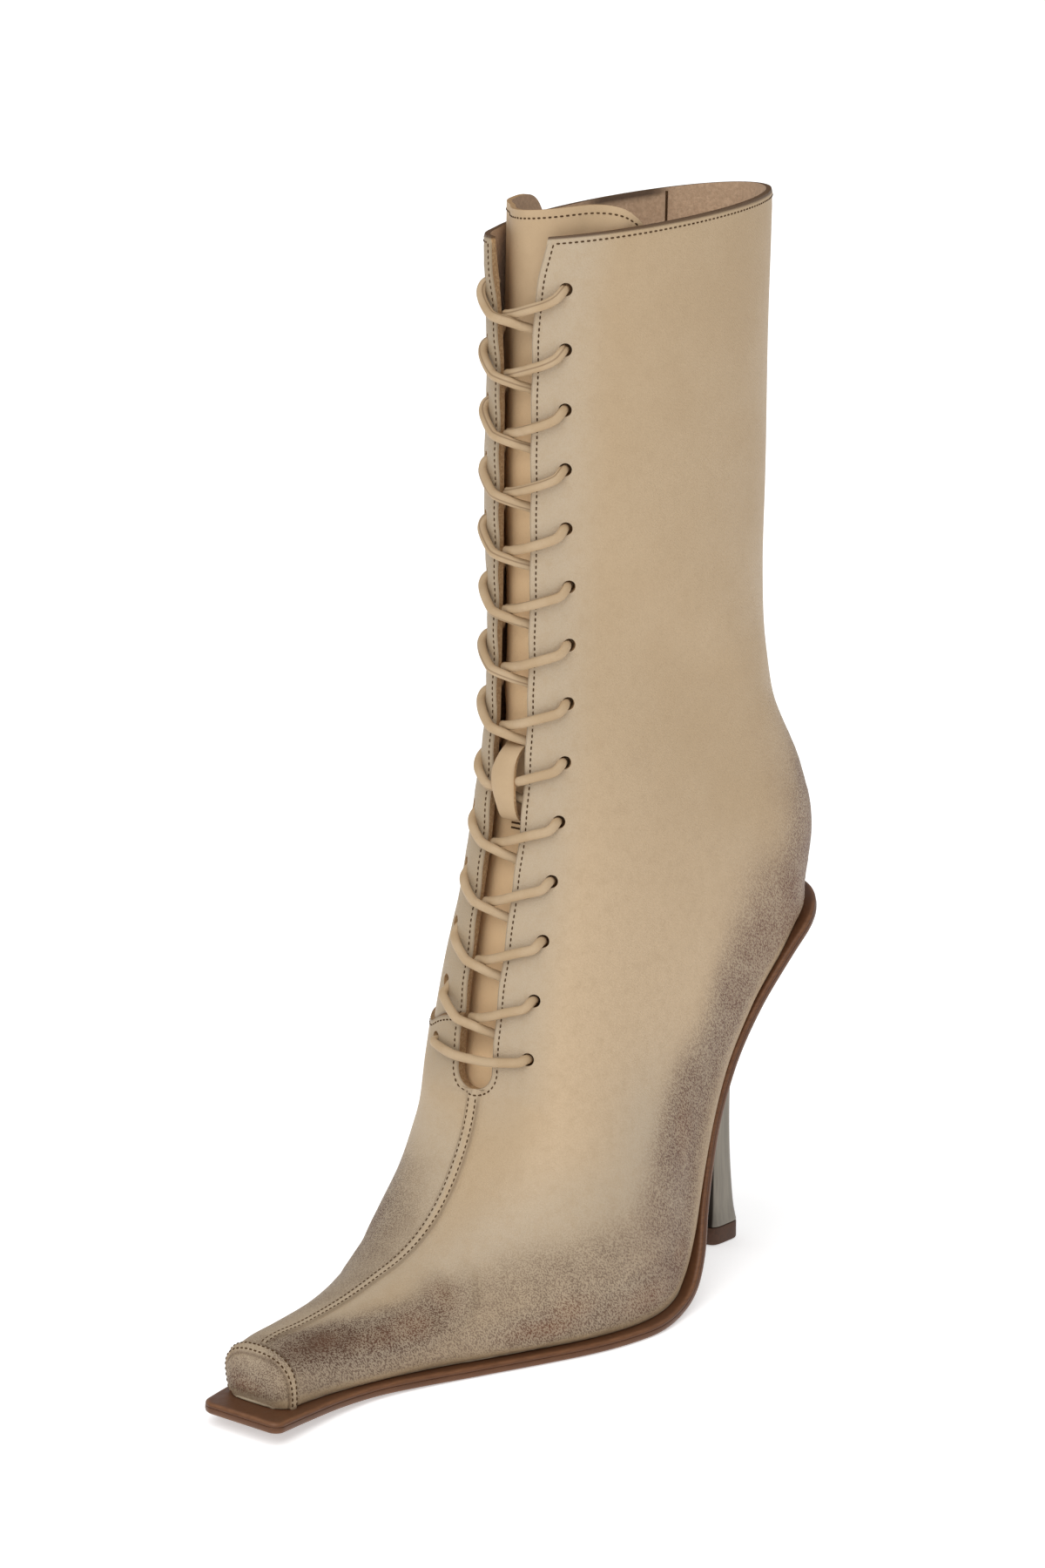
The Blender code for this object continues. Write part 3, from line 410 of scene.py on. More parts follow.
def section_at(s):
    """Values of the section at a fractional number; foot sections end exactly on the sole's seat."""
    row = Section(*np.moveaxis(smooth_rows(SECTIONS, s), -1, 0))
    return row._replace(base_z=np.where(s < HEEL_BACK_ROW, sole_seat(row.base_y), row.base_z))


def skin(s, t):
    """Outer face of the upper: s is a section number, t runs from the inner edge to the outer one."""
    s, t = np.broadcast_arrays(np.asarray(s, dtype=float), np.asarray(t, dtype=float))
    row = section_at(s)
    wide = np.where(t >= 0, row.wide_out, row.wide_in)
    base = np.where(t >= 0, row.base_out, row.base_in)
    upper_angle = np.clip(2 * np.abs(t), 0.0, 1.0) * np.pi / 2
    full_turn = np.radians(row.turn)
    lower_angle = np.clip(2 * np.abs(t) - 1, 0.0, 1.0) * full_turn
    on_top = np.abs(t) <= 0.5
    across = np.sin(upper_angle) ** row.power
    down = 1 - np.clip(np.cos(upper_angle), 0.0, 1.0) ** row.power
    tuck = (1 - np.cos(lower_angle)) / (1 - np.cos(full_turn))
    drop = np.sin(lower_angle) / np.sin(full_turn)
    x = np.where(on_top, row.centre + (wide - row.centre) * across, wide + (base - wide) * tuck)
    along = np.where(on_top, row.wide_at * down, row.wide_at + (1 - row.wide_at) * drop)
    y = row.front_y + (row.base_y - row.front_y) * along
    z = row.front_z + (row.base_z - row.front_z) * along
    z = z + COLLAR_TILT * (x - row.centre) * ease(s, COLLAR_ROW - COLLAR_TILT_ROWS, COLLAR_ROW)
    return np.stack([x, y, z], axis=-1)


def skin_normal(s, t):
    """Outward direction of the upper's outer face."""
    step = 0.02
    s, t = np.broadcast_arrays(np.asarray(s, dtype=float), np.asarray(t, dtype=float))
    low = np.clip(s - step, 0.0, None)
    along = skin(s + step, t) - skin(low, t)
    across = skin(s, np.clip(t + step, -1, 1)) - skin(s, np.clip(t - step, -1, 1))
    closed = (np.abs(t) > 1 - 1e-6) & (s >= HEEL_BACK_ROW)
    across = np.where(closed[..., None], np.array([-1.0, 0.0, 0.0]), across)
    return unit(np.cross(across, along))


def side_place(s, distance, side):
    """t of the point that lies this far in X from the front centre line, on one side."""
    row = section_at(s)
    reach = (row.wide_out - row.centre) if side > 0 else (row.centre - row.wide_in)
    share = np.clip(distance / reach, 0.0, 1.0) ** (1 / row.power)
    return side * np.arcsin(share) / np.pi


FRONT_NUMBERS = np.linspace(THROAT_ROW - 3, COLLAR_ROW, 800)


def climb_from_throat(s):
    """Distance up the front centre line from the throat's foot, below zero under it."""
    length = lengths_along(skin(FRONT_NUMBERS, np.zeros(len(FRONT_NUMBERS))))
    return np.interp(s, FRONT_NUMBERS, length) - np.interp(THROAT_ROW, FRONT_NUMBERS, length)


def section_of_climb(climb):
    """Section number at a distance up the front centre line from the throat's foot."""
    return np.interp(climb, climb_from_throat(FRONT_NUMBERS), FRONT_NUMBERS)


def throat_half_gap(s):
    """Half the opening between the facings: a round end at its foot, and wider at the collar."""
    climb = np.linalg.norm(skin(s, 0.0)[..., 1:] - skin(THROAT_ROW, 0.0)[..., 1:], axis=-1)
    climb = np.where(s > THROAT_ROW, climb, 0.0)
    round_end = np.sqrt(np.clip(1 - (1 - np.clip(climb / THROAT_HALF_GAP, 0, 1)) ** 2, 0, 1))
    opened = np.clip((s - COLLAR_ROW) / THROAT_SPREAD_ROWS + 1, 0, 1)
    return THROAT_HALF_GAP * round_end + THROAT_SPREAD * opened ** 2


def section_of_height(height, distance, side):
    """Section number at which the face reaches this height, this far from the front centre line."""
    numbers = np.linspace(THROAT_ROW - 2, COLLAR_ROW, 400)
    heights = skin(numbers, side_place(numbers, distance, side))[:, 2]
    return float(np.interp(height, heights, numbers))


def lift_point(distance, z, height):
    """A point above the upper's front, this far to one side of its centre line."""
    side = 1 if distance >= 0 else -1
    s = section_of_height(z, abs(distance) + 0.01, side)
    t = side_place(s, abs(distance) + 0.01, side)
    return skin(s, t) + skin_normal(s, t) * height


def eyelet_row(row):
    """Distance from the front centre line and height of one row of eyelets, counted from the top."""
    return EYELET_X + EYELET_FLARE * row, EYELET_TOP_Z - EYELET_PITCH * row


def eyelets():
    """Middle and outward tip of every eyelet."""
    found = []
    for row in range(EYELET_ROWS):
        distance, z = eyelet_row(row)
        for side in (1, -1):
            found.append((lift_point(side * distance, z, 0.0), lift_point(side * distance, z, 1.0)))
    return found


EYELETS = eyelets()


def frame_shift():
    """Where the boot's own zero lies in the frame, found from the heel's tip."""
    low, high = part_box("top_lift")
    middle = (low + high) / 2
    tip_y = (HEEL[0].front_y + HEEL[0].back_y) / 2 * MM
    return np.array([middle.x, middle.y - tip_y, 0.0])


SHIFT = frame_shift()


def to_frame(points):
    """Points of the boot in metres, in the frame."""
    return np.asarray(points, dtype=float) * MM + SHIFT


def new_object(name, points, faces):
    """A linked mesh object from points in millimetres, with its faces pointing out."""
    mesh = bpy.data.meshes.new(name)
    mesh.from_pydata(to_frame(points).tolist(), [], faces)
    work = bmesh.new()
    work.from_mesh(mesh)
    bmesh.ops.recalc_face_normals(work, faces=work.faces)
    work.to_mesh(mesh)
    work.free()
    made = bpy.data.objects.new(name, mesh)
    bpy.context.scene.collection.objects.link(made)
    return made


def make_piece(name, points, faces, materials, slot, replaces=(), face_materials=None, sharp_angle=60):
    """One smooth piece of the boot from points in millimetres."""
    piece = new_object(name, points, faces)
    for material in materials:
        piece.data.materials.append(material)
    if face_materials is not None:
        piece.data.polygons.foreach_set("material_index", np.asarray(face_materials, dtype=np.int32))
    piece.data.shade_smooth()
    piece.data.set_sharp_from_angle(angle=math.radians(sharp_angle))
    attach(piece, "root")
    if replaces:
        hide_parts(*replaces)
    return piece


def paint(piece, name, values):
    """Stores one number per vertex for the materials."""
    attribute = piece.data.attributes.new(name, "FLOAT", "POINT")
    attribute.data.foreach_set("value", np.asarray(values, dtype=np.float32))


class Shader:
    """Short calls for building one node material."""

    def __init__(self, name, **values):
        self.material = bpy.data.materials.new(name)
        self.material.use_nodes = True
        self.tree = self.material.node_tree
        self.surface = self.tree.nodes["Principled BSDF"]
        self.place = self.add("ShaderNodeTexCoord").outputs["Object"]
        for socket, value in values.items():
            self.surface.inputs[socket.replace("_", " ")].default_value = value

    def add(self, kind, inputs=None, **settings):
        """A node with its settings and its inputs, each a value or another node's output."""
        made = self.tree.nodes.new(kind)
        for key, value in settings.items():
            setattr(made, key, value)
        for key, value in (inputs or {}).items():
            if isinstance(value, bpy.types.NodeSocket):
                self.tree.links.new(value, made.inputs[key])
            else:
                made.inputs[key].default_value = value
        return made

    def noise(self, scale, detail=2.0, rough=0.5, place=None):
        """Cloudy noise; scale is in cells per metre."""
        inputs = {"Vector": place or self.place, "Scale": scale, "Detail": detail, "Roughness": rough}
        return self.add("ShaderNodeTexNoise", inputs).outputs["Fac"]

    def stretch(self, turn, scale):
        """Coordinates turned, and then stretched along the turned directions."""
        inputs = {"Vector": self.place, "Rotation": turn, "Scale": scale}
        return self.add("ShaderNodeMapping", inputs, vector_type="TEXTURE").outputs["Vector"]

    def attribute(self, name):
        """A number painted on the mesh."""
        return self.add("ShaderNodeAttribute", attribute_name=name).outputs["Fac"]

    def math(self, operation, first, second, clamp=False):
        """One sum on two numbers."""
        return self.add("ShaderNodeMath", {0: first, 1: second}, operation=operation,
                        use_clamp=clamp).outputs[0]

    def remap(self, value, low, high, to_low=0.0, to_high=1.0):
        """A number taken from one range to another, smoothly and clamped."""
        inputs = {"Value": value, "From Min": low, "From Max": high, "To Min": to_low, "To Max": to_high}
        return self.add("ShaderNodeMapRange", inputs, interpolation_type="SMOOTHSTEP").outputs["Result"]

    def mix(self, share, first, second):
        """A blend of two colours."""
        made = self.add("ShaderNodeMix", {0: share, 6: first, 7: second}, data_type="RGBA")
        return made.outputs[2]

    def bump(self, height, distance, strength=1.0, below=None):
        """A bump from a height, on top of another bump."""
        inputs = {"Height": height, "Distance": distance, "Strength": strength}
        if below is not None:
            inputs["Normal"] = below
        return self.add("ShaderNodeBump", inputs).outputs["Normal"]

    def finish(self, **links):
        """Links colours, roughness or normal to the surface and returns the material."""
        for socket, value in links.items():
            self.tree.links.new(value, self.surface.inputs[socket.replace("_", " ")])
        return self.material


# Colours, linear
BEIGE = (0.500, 0.370, 0.232, 1)
BEIGE_WARM = (0.475, 0.345, 0.210, 1)
BEIGE_DEEP = (0.430, 0.308, 0.185, 1)
BEIGE_PALE = (0.490, 0.393, 0.280, 1)
# painted shade for the inner facing
BEIGE_PAINTED_SHADE = (0.355, 0.272, 0.178, 1)
# painted light for the sides of the foot
BEIGE_PAINTED_LIGHT = (0.575, 0.428, 0.275, 1)
RUB_PEAK = (0.435, 0.336, 0.226, 1)
RUB_PEAK_GREY = (0.420, 0.342, 0.250, 1)
RUB_BROWN = (0.074, 0.040, 0.025, 1)
RUB_RED = (0.146, 0.062, 0.033, 1)
RAW_EDGE = (0.350, 0.208, 0.100, 1)
RAW_EDGE_LIGHT = (0.54, 0.36, 0.19, 1)
# burnt cut edges, and painted shade along edges and beside raised strips
BURNT_EDGE_AND_SHADE = (0.085, 0.044, 0.022, 1)
SUEDE = (0.77, 0.555, 0.376, 1)
SUEDE_DARK = (0.55, 0.38, 0.248, 1)
LINING_BROWN = (0.075, 0.045, 0.03, 1)
SOFT_CALF = (0.53, 0.380, 0.230, 1)
SOFT_CALF_SHADE = (0.42, 0.294, 0.169, 1)
# painted bounce light for the lower tongue
SOFT_CALF_PAINTED_BOUNCE = (0.84, 0.585, 0.330, 1)
THREAD = (0.050, 0.025, 0.011, 1)
THREAD_LIGHT = (0.105, 0.058, 0.026, 1)
LACE = (0.50, 0.365, 0.225, 1)
LACE_WARM = (0.46, 0.325, 0.19, 1)
LACE_SHADE = (0.36, 0.245, 0.14, 1)
LACE_SEAM = (0.18, 0.105, 0.052, 1)
SOLE_BROWN = (0.135, 0.056, 0.024, 1)
SOLE_DARK = (0.085, 0.033, 0.014, 1)
# worn edges and painted highlight on the sole's rounded edges
SOLE_WORN_AND_HIGHLIGHT = (0.27, 0.125, 0.058, 1)
LIFT_BROWN = (0.068, 0.032, 0.018, 1)
LIFT_LIGHT = (0.095, 0.046, 0.027, 1)
METAL = (0.232, 0.208, 0.172, 1)
METAL_DARK = (0.205, 0.185, 0.155, 1)
# painted shade and reflection for the heel's front face
METAL_BREAST_SHADE_AND_REFLECTION = (0.045, 0.040, 0.033, 1)
BEAD = (0.45, 0.37, 0.26, 1)
BEAD_DARK = (0.24, 0.175, 0.11, 1)


def leather_material():
    """Smooth beige calf, paler by the facings, rubbed brown with an open grain low on the foot."""
    look = Shader("boot_leather", Specular_IOR_Level=0.24)
    clouds = look.noise(24, 3.0)
    mottle = look.noise(260, 4.0, 0.65)
    smears = look.noise(95, 5.0, 0.62, look.stretch((-0.8, 0.0, 0.0), (1.0, 2.2, 1.0)))
    grain_place = look.stretch((-0.8, 0.0, 0.3), (1.0, 3.0, 1.0))
    dashes = look.noise(2700, 1.0, 0.5, grain_place)
    fine = look.noise(2600, 3.0, 0.6)
    rub = look.attribute("rub")
    cracks = look.remap(dashes, 0.40, 0.56, 1.0, 0.0)
    base = look.mix(look.remap(clouds, 0.35, 0.65), BEIGE, BEIGE_WARM)
    # painted light on the sides of the foot, between the vamp and the heel
    base = look.mix(look.attribute("light"), base, BEIGE_PAINTED_LIGHT)
    base = look.mix(look.attribute("pale"), base, BEIGE_PALE)
    # painted shade on the inner facing
    base = look.mix(look.attribute("dim"), base, BEIGE_PAINTED_SHADE)
    base = look.mix(look.remap(mottle, 0.42, 0.72, 0.0, 0.30), base, BEIGE_DEEP)
    base = look.mix(look.math("MULTIPLY", cracks, 0.22), base, BEIGE_DEEP)
    red = look.attribute("red")
    base = look.mix(look.remap(rub, 0.05, 0.5), base, look.mix(red, RUB_PEAK_GREY, RUB_PEAK))
    uneven = look.math("MULTIPLY", rub, look.remap(smears, 0.3, 0.7, 0.58, 1.42))
    grain = look.math("MULTIPLY", cracks, look.remap(rub, 0.0, 0.45, 0.0, 0.60))
    share = look.math("ADD", look.math("MULTIPLY", uneven, 0.62), grain, clamp=True)
    brown = look.mix(red, RUB_BROWN, RUB_RED)
    colour = look.mix(share, base, brown)
    # burnt cut edges, and painted shade along the facings' edges and beside the raised seam strips
    colour = look.mix(look.attribute("burnt"), colour, BURNT_EDGE_AND_SHADE)
    depth = look.remap(rub, 0.0, 0.5, 0.5, 1.0)
    normal = look.bump(look.math("MULTIPLY", dashes, depth), 0.0004, 0.8)
    normal = look.bump(fine, 0.00006, 0.5, normal)
    rough = look.remap(clouds, 0.3, 0.7, 0.48, 0.58)
    return look.finish(Base_Color=colour, Roughness=rough, Normal=normal)


def plain_material(name, noise, spread, colours, bump, rough=None, painted=None, stretch=None, **values):
    """Two colours by one noise with its bump, and perhaps its roughness and a painted third colour."""
    look = Shader(name, **values)
    grain = look.noise(*noise, look.stretch(*stretch) if stretch else None)
    links = {"Base_Color": look.mix(look.remap(grain, *spread), *colours), "Normal": look.bump(grain, *bump)}
    if painted:
        links["Base_Color"] = look.mix(look.attribute(painted[0]), links["Base_Color"], painted[1])
    if rough:
        links["Roughness"] = look.remap(grain, 0.3, 0.7, *rough)
    return look.finish(**links)


def raw_edge_material():
    """Cut leather edge: brown with paler fibres."""
    # darkened where the outer face's burnt edges and painted shade reach the cut edge
    return plain_material("raw_edge", (1400, 4.0, 0.7), (0.4, 0.7), (RAW_EDGE, RAW_EDGE_LIGHT), (0.0003, 0.6),
                          painted=("burnt", BURNT_EDGE_AND_SHADE), Roughness=0.85, Specular_IOR_Level=0.2)


def suede_material():
    """Napped lining, mottled light and dark."""
    look = Shader("suede_lining", Roughness=0.95, Specular_IOR_Level=0.1, Sheen_Weight=0.12,
                  Sheen_Roughness=0.6)
    nap = look.noise(900, 5.0, 0.7)
    mottle = look.noise(260, 3.0, 0.6)
    share = look.math("MULTIPLY", look.remap(nap, 0.3, 0.7), look.remap(mottle, 0.3, 0.7, 0.5, 1.0))
    colour = look.mix(share, SUEDE_DARK, SUEDE)
    colour = look.mix(look.attribute("band"), colour, LINING_BROWN)
    return look.finish(Base_Color=colour, Normal=look.bump(nap, 0.0004, 0.5))


def tongue_material():
    """Soft matt calf of the tongue, with painted bounce light low in the throat."""
    look = Shader("tongue_leather", Specular_IOR_Level=0.25)
    clouds = look.noise(60, 3.0)
    fine = look.noise(1300, 4.0, 0.65)
    colour = look.mix(look.remap(clouds, 0.35, 0.75, 0.0, 0.5), SOFT_CALF, SOFT_CALF_SHADE)
    # painted bounce light: lighter and warmer low on the tongue, deep in the throat
    colour = look.mix(look.attribute("painted_bounce"), colour, SOFT_CALF_PAINTED_BOUNCE)
    colour = look.mix(look.remap(fine, 0.55, 0.8, 0.0, 0.25), colour, SOFT_CALF_SHADE)
    rough = look.remap(fine, 0.3, 0.7, 0.58, 0.70)
    return look.finish(Base_Color=colour, Roughness=rough, Normal=look.bump(fine, 0.00018, 0.5))


def thread_material():
    """Dark brown waxed thread."""
    return plain_material("thread", (2500, 2.0, 0.5), (0.3, 0.7), (THREAD, THREAD_LIGHT), (0.0001, 0.5),
                          Roughness=0.8, Specular_IOR_Level=0.1)


def lace_material():
    """Round leather lace with one seam along it."""
    look = Shader("lace_leather", Specular_IOR_Level=0.3)
    clouds = look.noise(120, 3.0)
    fine = look.noise(1800, 3.0, 0.6)
    colour = look.mix(look.remap(clouds, 0.35, 0.65), LACE, LACE_WARM)
    colour = look.mix(look.remap(look.attribute("seam"), 0.4, 1.0, 0.0, 0.7), colour, LACE_SEAM)
    colour = look.mix(look.remap(fine, 0.55, 0.8, 0.0, 0.3), colour, LACE_SHADE)
    rough = look.remap(fine, 0.3, 0.7, 0.48, 0.60)
    return look.finish(Base_Color=colour, Roughness=rough, Normal=look.bump(fine, 0.00012, 0.5))


def sole_material():
    """Burnished brown sole leather with a fine grain along its edge, and lighter rounded edges that are
    partly wear and partly painted highlight.
    """
    look = Shader("sole_leather", Specular_IOR_Level=0.3)
    clouds = look.noise(45, 4.0, 0.6)
    streaks = look.noise(420, 4.0, 0.6, look.stretch((0, 0, 0), (1.0, 3.0, 0.3)))
    uneven = look.remap(streaks, 0.3, 0.7, 0.5, 1.0)
    share = look.math("MULTIPLY", look.remap(clouds, 0.3, 0.7, 0.5, 1.0), uneven)
    colour = look.mix(share, SOLE_DARK, SOLE_BROWN)
    # lighter rounded edges: wear, and painted highlight
    colour = look.mix(look.math("MULTIPLY", look.attribute("worn"), uneven), colour, SOLE_WORN_AND_HIGHLIGHT)
    rough = look.remap(streaks, 0.3, 0.7, 0.34, 0.48)
    return look.finish(Base_Color=colour, Roughness=rough, Normal=look.bump(streaks, 0.00012, 0.4))


def lift_material():
    """Matt brown heel tip."""
    return plain_material("heel_lift", (900, 4.0, 0.6), (0.3, 0.7), (LIFT_BROWN, LIFT_LIGHT), (0.0001, 0.4),
                          rough=(0.52, 0.66), Specular_IOR_Level=0.3)


def metal_material():
    """Satin grey-green metal with faint brush marks along the heel, and painted shade and reflection on its
    front face.
    """
    return plain_material("heel_metal", (900, 3.0, 0.6), (0.3, 0.7), (METAL, METAL_DARK), (0.00003, 0.3),
                          rough=(0.30, 0.42), painted=("breast_shade_and_reflection", METAL_BREAST_SHADE_AND_REFLECTION),
                          stretch=((0, 0, 0), (1.0, 1.0, 25.0)), Metallic=0.85)


def bead_material():
    """Pale rubbed line where the upper meets the sole."""
    look = Shader("edge_bead", Roughness=0.6, Specular_IOR_Level=0.3)
    clouds = look.noise(90, 3.0)
    colour = look.mix(look.remap(clouds, 0.35, 0.65), BEAD, BEAD_DARK)
    return look.finish(Base_Color=colour, Normal=look.bump(look.noise(1500), 0.0001, 0.4))


CAP_SECTION = 6.0           # millimetres of one section by the toe cap's seam
COLLAR_SECTION = 18.0       # and by the collar

# The upper's mesh columns: distances from the facing's edge or the centre seam, then even steps
NEAR = np.concatenate([[0, 0.3, 0.6, 1.0, 1.4, 1.8, 2.2, 2.7, 3.2, 3.8, 4.6, 5.5], np.arange(6.6, 26, 1.25)])
NEAR_SHARE = 0.55           # the most of a section that they take up
FAR_COUNT = 44
OVERLAY_BEVEL = 0.025       # half width of the vamp panel's cut edge, in sections
INNER_FLARE = 2.2           # how far the inner facing stands off at the collar
TOE_END_ROW = 4.0           # up to this section the rub is also read from the height over the sole
TOE_UPRIGHT = 1.1           # multiplied by this
EVEN_PASSES = 60            # how often the turn at the heel is evened out
WAIST_OVERHANG = 2.0        # how far the upper bulges over the sole's edge at the waist
PARTED = THROAT_ROW + 0.005  # sections above this have a throat
ON_STEP = 1.1 * OVERLAY_BEVEL  # rows this close to the vamp panel's edge belong to it

# Swells and hollows up the back of the heel
BackSwell = namedtuple("BackSwell", "s width height")
BACK_SWELLS = [BackSwell(*row) for row in ((25.2, 1.3, 1.2), (27.7, 0.8, -0.4), (29.2, 1.0, 0.9))]


def upper_rows():
    """Section numbers of the upper's mesh rows, close together at seams and edges."""
    return np.concatenate([
        np.arange(0, 2.4, 0.12), np.arange(2.4, 3.6, 0.05), np.arange(3.6, 12.95, 0.15),
        THROAT_ROW + np.array([0, 0.012, 0.03, 0.06, 0.10, 0.15, 0.22, 0.30, 0.40, 0.50]),
        np.arange(13.6, 14.36, 0.1), OVERLAY_ROW + np.array([-0.08, -OVERLAY_BEVEL, OVERLAY_BEVEL, 0.08]),
        np.arange(14.66, 33.7, 0.14), COLLAR_ROW - np.array([0.2, 0.14, 0.09, 0.05, 0.02, 0.0])])


def side_columns(s, side):
    """Mesh columns on one side of a section: t, and distances from the throat's edge and the lower end."""
    start = float(side_place(s, throat_half_gap(s), side))
    t = start + (side - start) * np.linspace(0, 1, 240)
    length = lengths_along(skin(np.full(len(t), s), t))
    near = NEAR * min(1.0, NEAR_SHARE * length[-1] / NEAR[-1])
    far = near[-1] + (length[-1] - near[-1]) * np.linspace(0, 1, FAR_COUNT + 1)[1:]
    offset = np.concatenate([near, far])
    return np.interp(offset, length, t), offset, length[-1] - offset


def overlay_rise(t):
    """How many sections the vamp panel's edge has climbed at a place on the inner side."""
    return OVERLAY_RISE * ease(-t, *OVERLAY_CLIMB)


def overlay_shift(s, t):
    """How far the rows climb round the inner side, so that one of them follows the vamp panel's edge."""
    warp = ease(s, OVERLAY_ROW - 1.2, OVERLAY_ROW) - ease(s, OVERLAY_ROW, OVERLAY_ROW + 4.0)
    return np.where(t < 0, overlay_rise(t) * warp, 0.0)


def crease_depth(points):
    """Soft troughs with low ridges beside them, at points on the upper."""
    total = np.zeros(points.shape[:-1])
    for crease in CREASES:
        part = np.linspace(0, 1, 24)
        bow = 0.25 * np.sin(np.pi * part)
        line = skin(crease.s_from + (crease.s_to - crease.s_from) * part + bow,
                    crease.t_from + (crease.t_to - crease.t_from) * part)
        nearest = np.full(points.shape[:-1], 1e9)
        fade = np.zeros(points.shape[:-1])
        for place, point in zip(part, line):
            distance = np.linalg.norm(points - point, axis=-1)
            closer = distance < nearest
            nearest = np.where(closer, distance, nearest)
            fade = np.where(closer, np.sin(np.pi * place) ** 0.7, fade)
        trough = hump(nearest, crease.width) - 0.55 * hump(nearest - 2.1 * crease.width, crease.width)
        total -= crease.depth * fade * trough
    return total


def waves(points):
    """Slow unevenness of the stretched leather."""
    x, y, z = points[..., 0], points[..., 1], points[..., 2]
    return (0.16 * np.sin(z / 15.0 + y / 31.0) * np.sin(y / 19.0 - x / 23.0)
            + 0.07 * np.sin(z / 7.3 - x / 11.0 + 1.3) * np.sin(y / 9.7 + 0.4))


def seam_width(s):
    """How wide the toe's centre strip is at a section, as a share of its upper end's width."""
    return SEAM_TOE_SHARE + (1 - SEAM_TOE_SHARE) * ease(s, 4.0, 11.0)


def inner_flare(z, offset):
    """How far the inner facing stands off, at a height and a distance from its edge."""
    return INNER_FLARE * ease(z, 288.0, 338.0) * (1 - ease(offset, 3.0, 24.0))


def waist_overhang(s, lower):
    """How far the upper bulges at the waist, at a distance from the sole's edge."""
    return WAIST_OVERHANG * hump(s - 16.0, 2.4) * ease(lower, 0.0, 3.0) * (1 - ease(lower, 5.0, 18.0))


def relief(s, t, offset, points):
    """Height of seams, edges, creases and dimples over the plain skin."""
    # The strip along the toe's centre seam, pulled in by its stitches
    below = ease(s, CAP_SEAM_ROW + 0.1, CAP_SEAM_ROW + 0.5) * (s <= PARTED)
    aside = offset / seam_width(s)
    strip = SEAM_RAISE * (1 - ease(aside, 1.9, 2.6)) - 0.25 * hump(aside - 3.0, 0.5)
    strip -= 0.20 * hump(aside - SEAM_ROW, 0.4)
    height = below * strip
    # The toe cap's seam
    from_cap = (s - CAP_SEAM_ROW) * CAP_SECTION
    height += SEAM_RAISE * (1 - ease(np.abs(from_cap), 1.1, 1.8)) - 0.30 * hump(np.abs(from_cap) - 2.2, 0.6)
    height += 0.45 * hump(from_cap, 4.0)
    # The facings' and the collar's edges and stitch rows
    parted = s > PARTED
    height -= parted * (0.30 * (1 - ease(offset, 0.0, 0.7)) + 0.16 * hump(offset - EDGE_ROW, 0.5))
    collar = (COLLAR_ROW - s) * COLLAR_SECTION
    height -= 0.30 * (1 - ease(collar, 0.0, 0.8)) + 0.14 * hump(collar - EDGE_ROW, 0.6)
    # The vamp panel, which lies over the inner quarter
    panel = np.where(s < THROAT_ROW - 0.1, ease(s, CAP_SEAM_ROW + 2, THROAT_ROW) * ease(-t, 0, 0.15), 1.0)
    height += np.where((t < 0) & (s < OVERLAY_ROW), OVERLAY_RAISE * panel * ease(s, 5.0, 5.5), 0.0)
    # The lace presses the facings between the eyelets, and the eyelets are pulled in
    press = np.cos(2 * np.pi * (points[..., 2] - EYELET_TOP_Z + 6.5) / EYELET_PITCH)
    height -= parted * ease(s, 13.6, 14.2) * 0.30 * hump(offset, 4.0) * press
    for middle, _ in EYELETS:
        distance = np.linalg.norm(points - middle, axis=-1)
        height += 0.10 * hump(distance - 4.2, 1.6) - 0.35 * hump(distance, 2.7)
    height += parted * (t < 0) * inner_flare(points[..., 2], offset)
    # The back of the heel, and creases and waves away from cap and collar
    back = sum(swell.height * hump(s - swell.s, swell.width) for swell in BACK_SWELLS)
    height += ease(np.abs(t), 0.55, 0.9) * back
    calm = ease(s, 3.4, 5.0) * (1 - ease(s, COLLAR_ROW - 1.5, COLLAR_ROW))
    return height + calm * (crease_depth(points) + waves(points))


def even_heel(points, rows):
    """Evens out the turn from the foot's sections to the shaft's, away from the sole's edge."""
    share = 0.5 * ease(rows, 19.0, 21.5) * (1 - ease(rows, 25.5, 28.0))
    count = points.shape[1]
    keep = 1 - ease(np.arange(count), count - 7, count - 1)
    weight = share[1:-1, None, None] * np.where(rows[1:-1, None] < 23.4, keep[None, :], 1.0)[..., None]
    for _ in range(EVEN_PASSES):
        middle = (points[:-2] + points[2:]) / 2
        points[1:-1] += weight * (middle - points[1:-1])
    return points


def rub_share(points, rows, lower, table):
    """The brown rub at points of the upper: its share, how reddish it is, and how far up it the points lie.

    lower is their distance from the sole's edge.
    """
    sections = [edge.s for edge in table]
    reach = np.interp(rows, sections, [edge.reach for edge in table])[:, None]
    strength = np.interp(rows, sections, [edge.strength for edge in table])[:, None]
    soft = ease(rows, 16.0, 20.0)[:, None]
    share = 1.1 ** soft * strength * (1 - ease(lower / reach, 0.62 - 0.40 * soft, 1.12 + 0.16 * soft))
    redder = 0.25 + 0.45 * ease(rows, 11.0, 13.0) + 0.3 * ease(rows, 17.5, 20.5)
    red = np.zeros(lower.shape) + redder[:, None]
    for patch in PATCHES:
        away = (points - np.array(patch[:3])) / np.array(patch[3:6])
        near = np.exp(-np.sum(away ** 2, axis=-1))
        share = 1 - (1 - share) * (1 - patch.strength * near)
        red = np.maximum(red, patch.red * near)
    heel = ease(rows, 19.5, 22.0)[:, None]
    strip = 4.5 + 13.5 * hump(rows - 16.5, 3.0)[:, None]
    return share * (1 - 0.7 * (1 - ease(lower, 0.25 * strip, strip)) * (1 - heel)), red, lower / reach


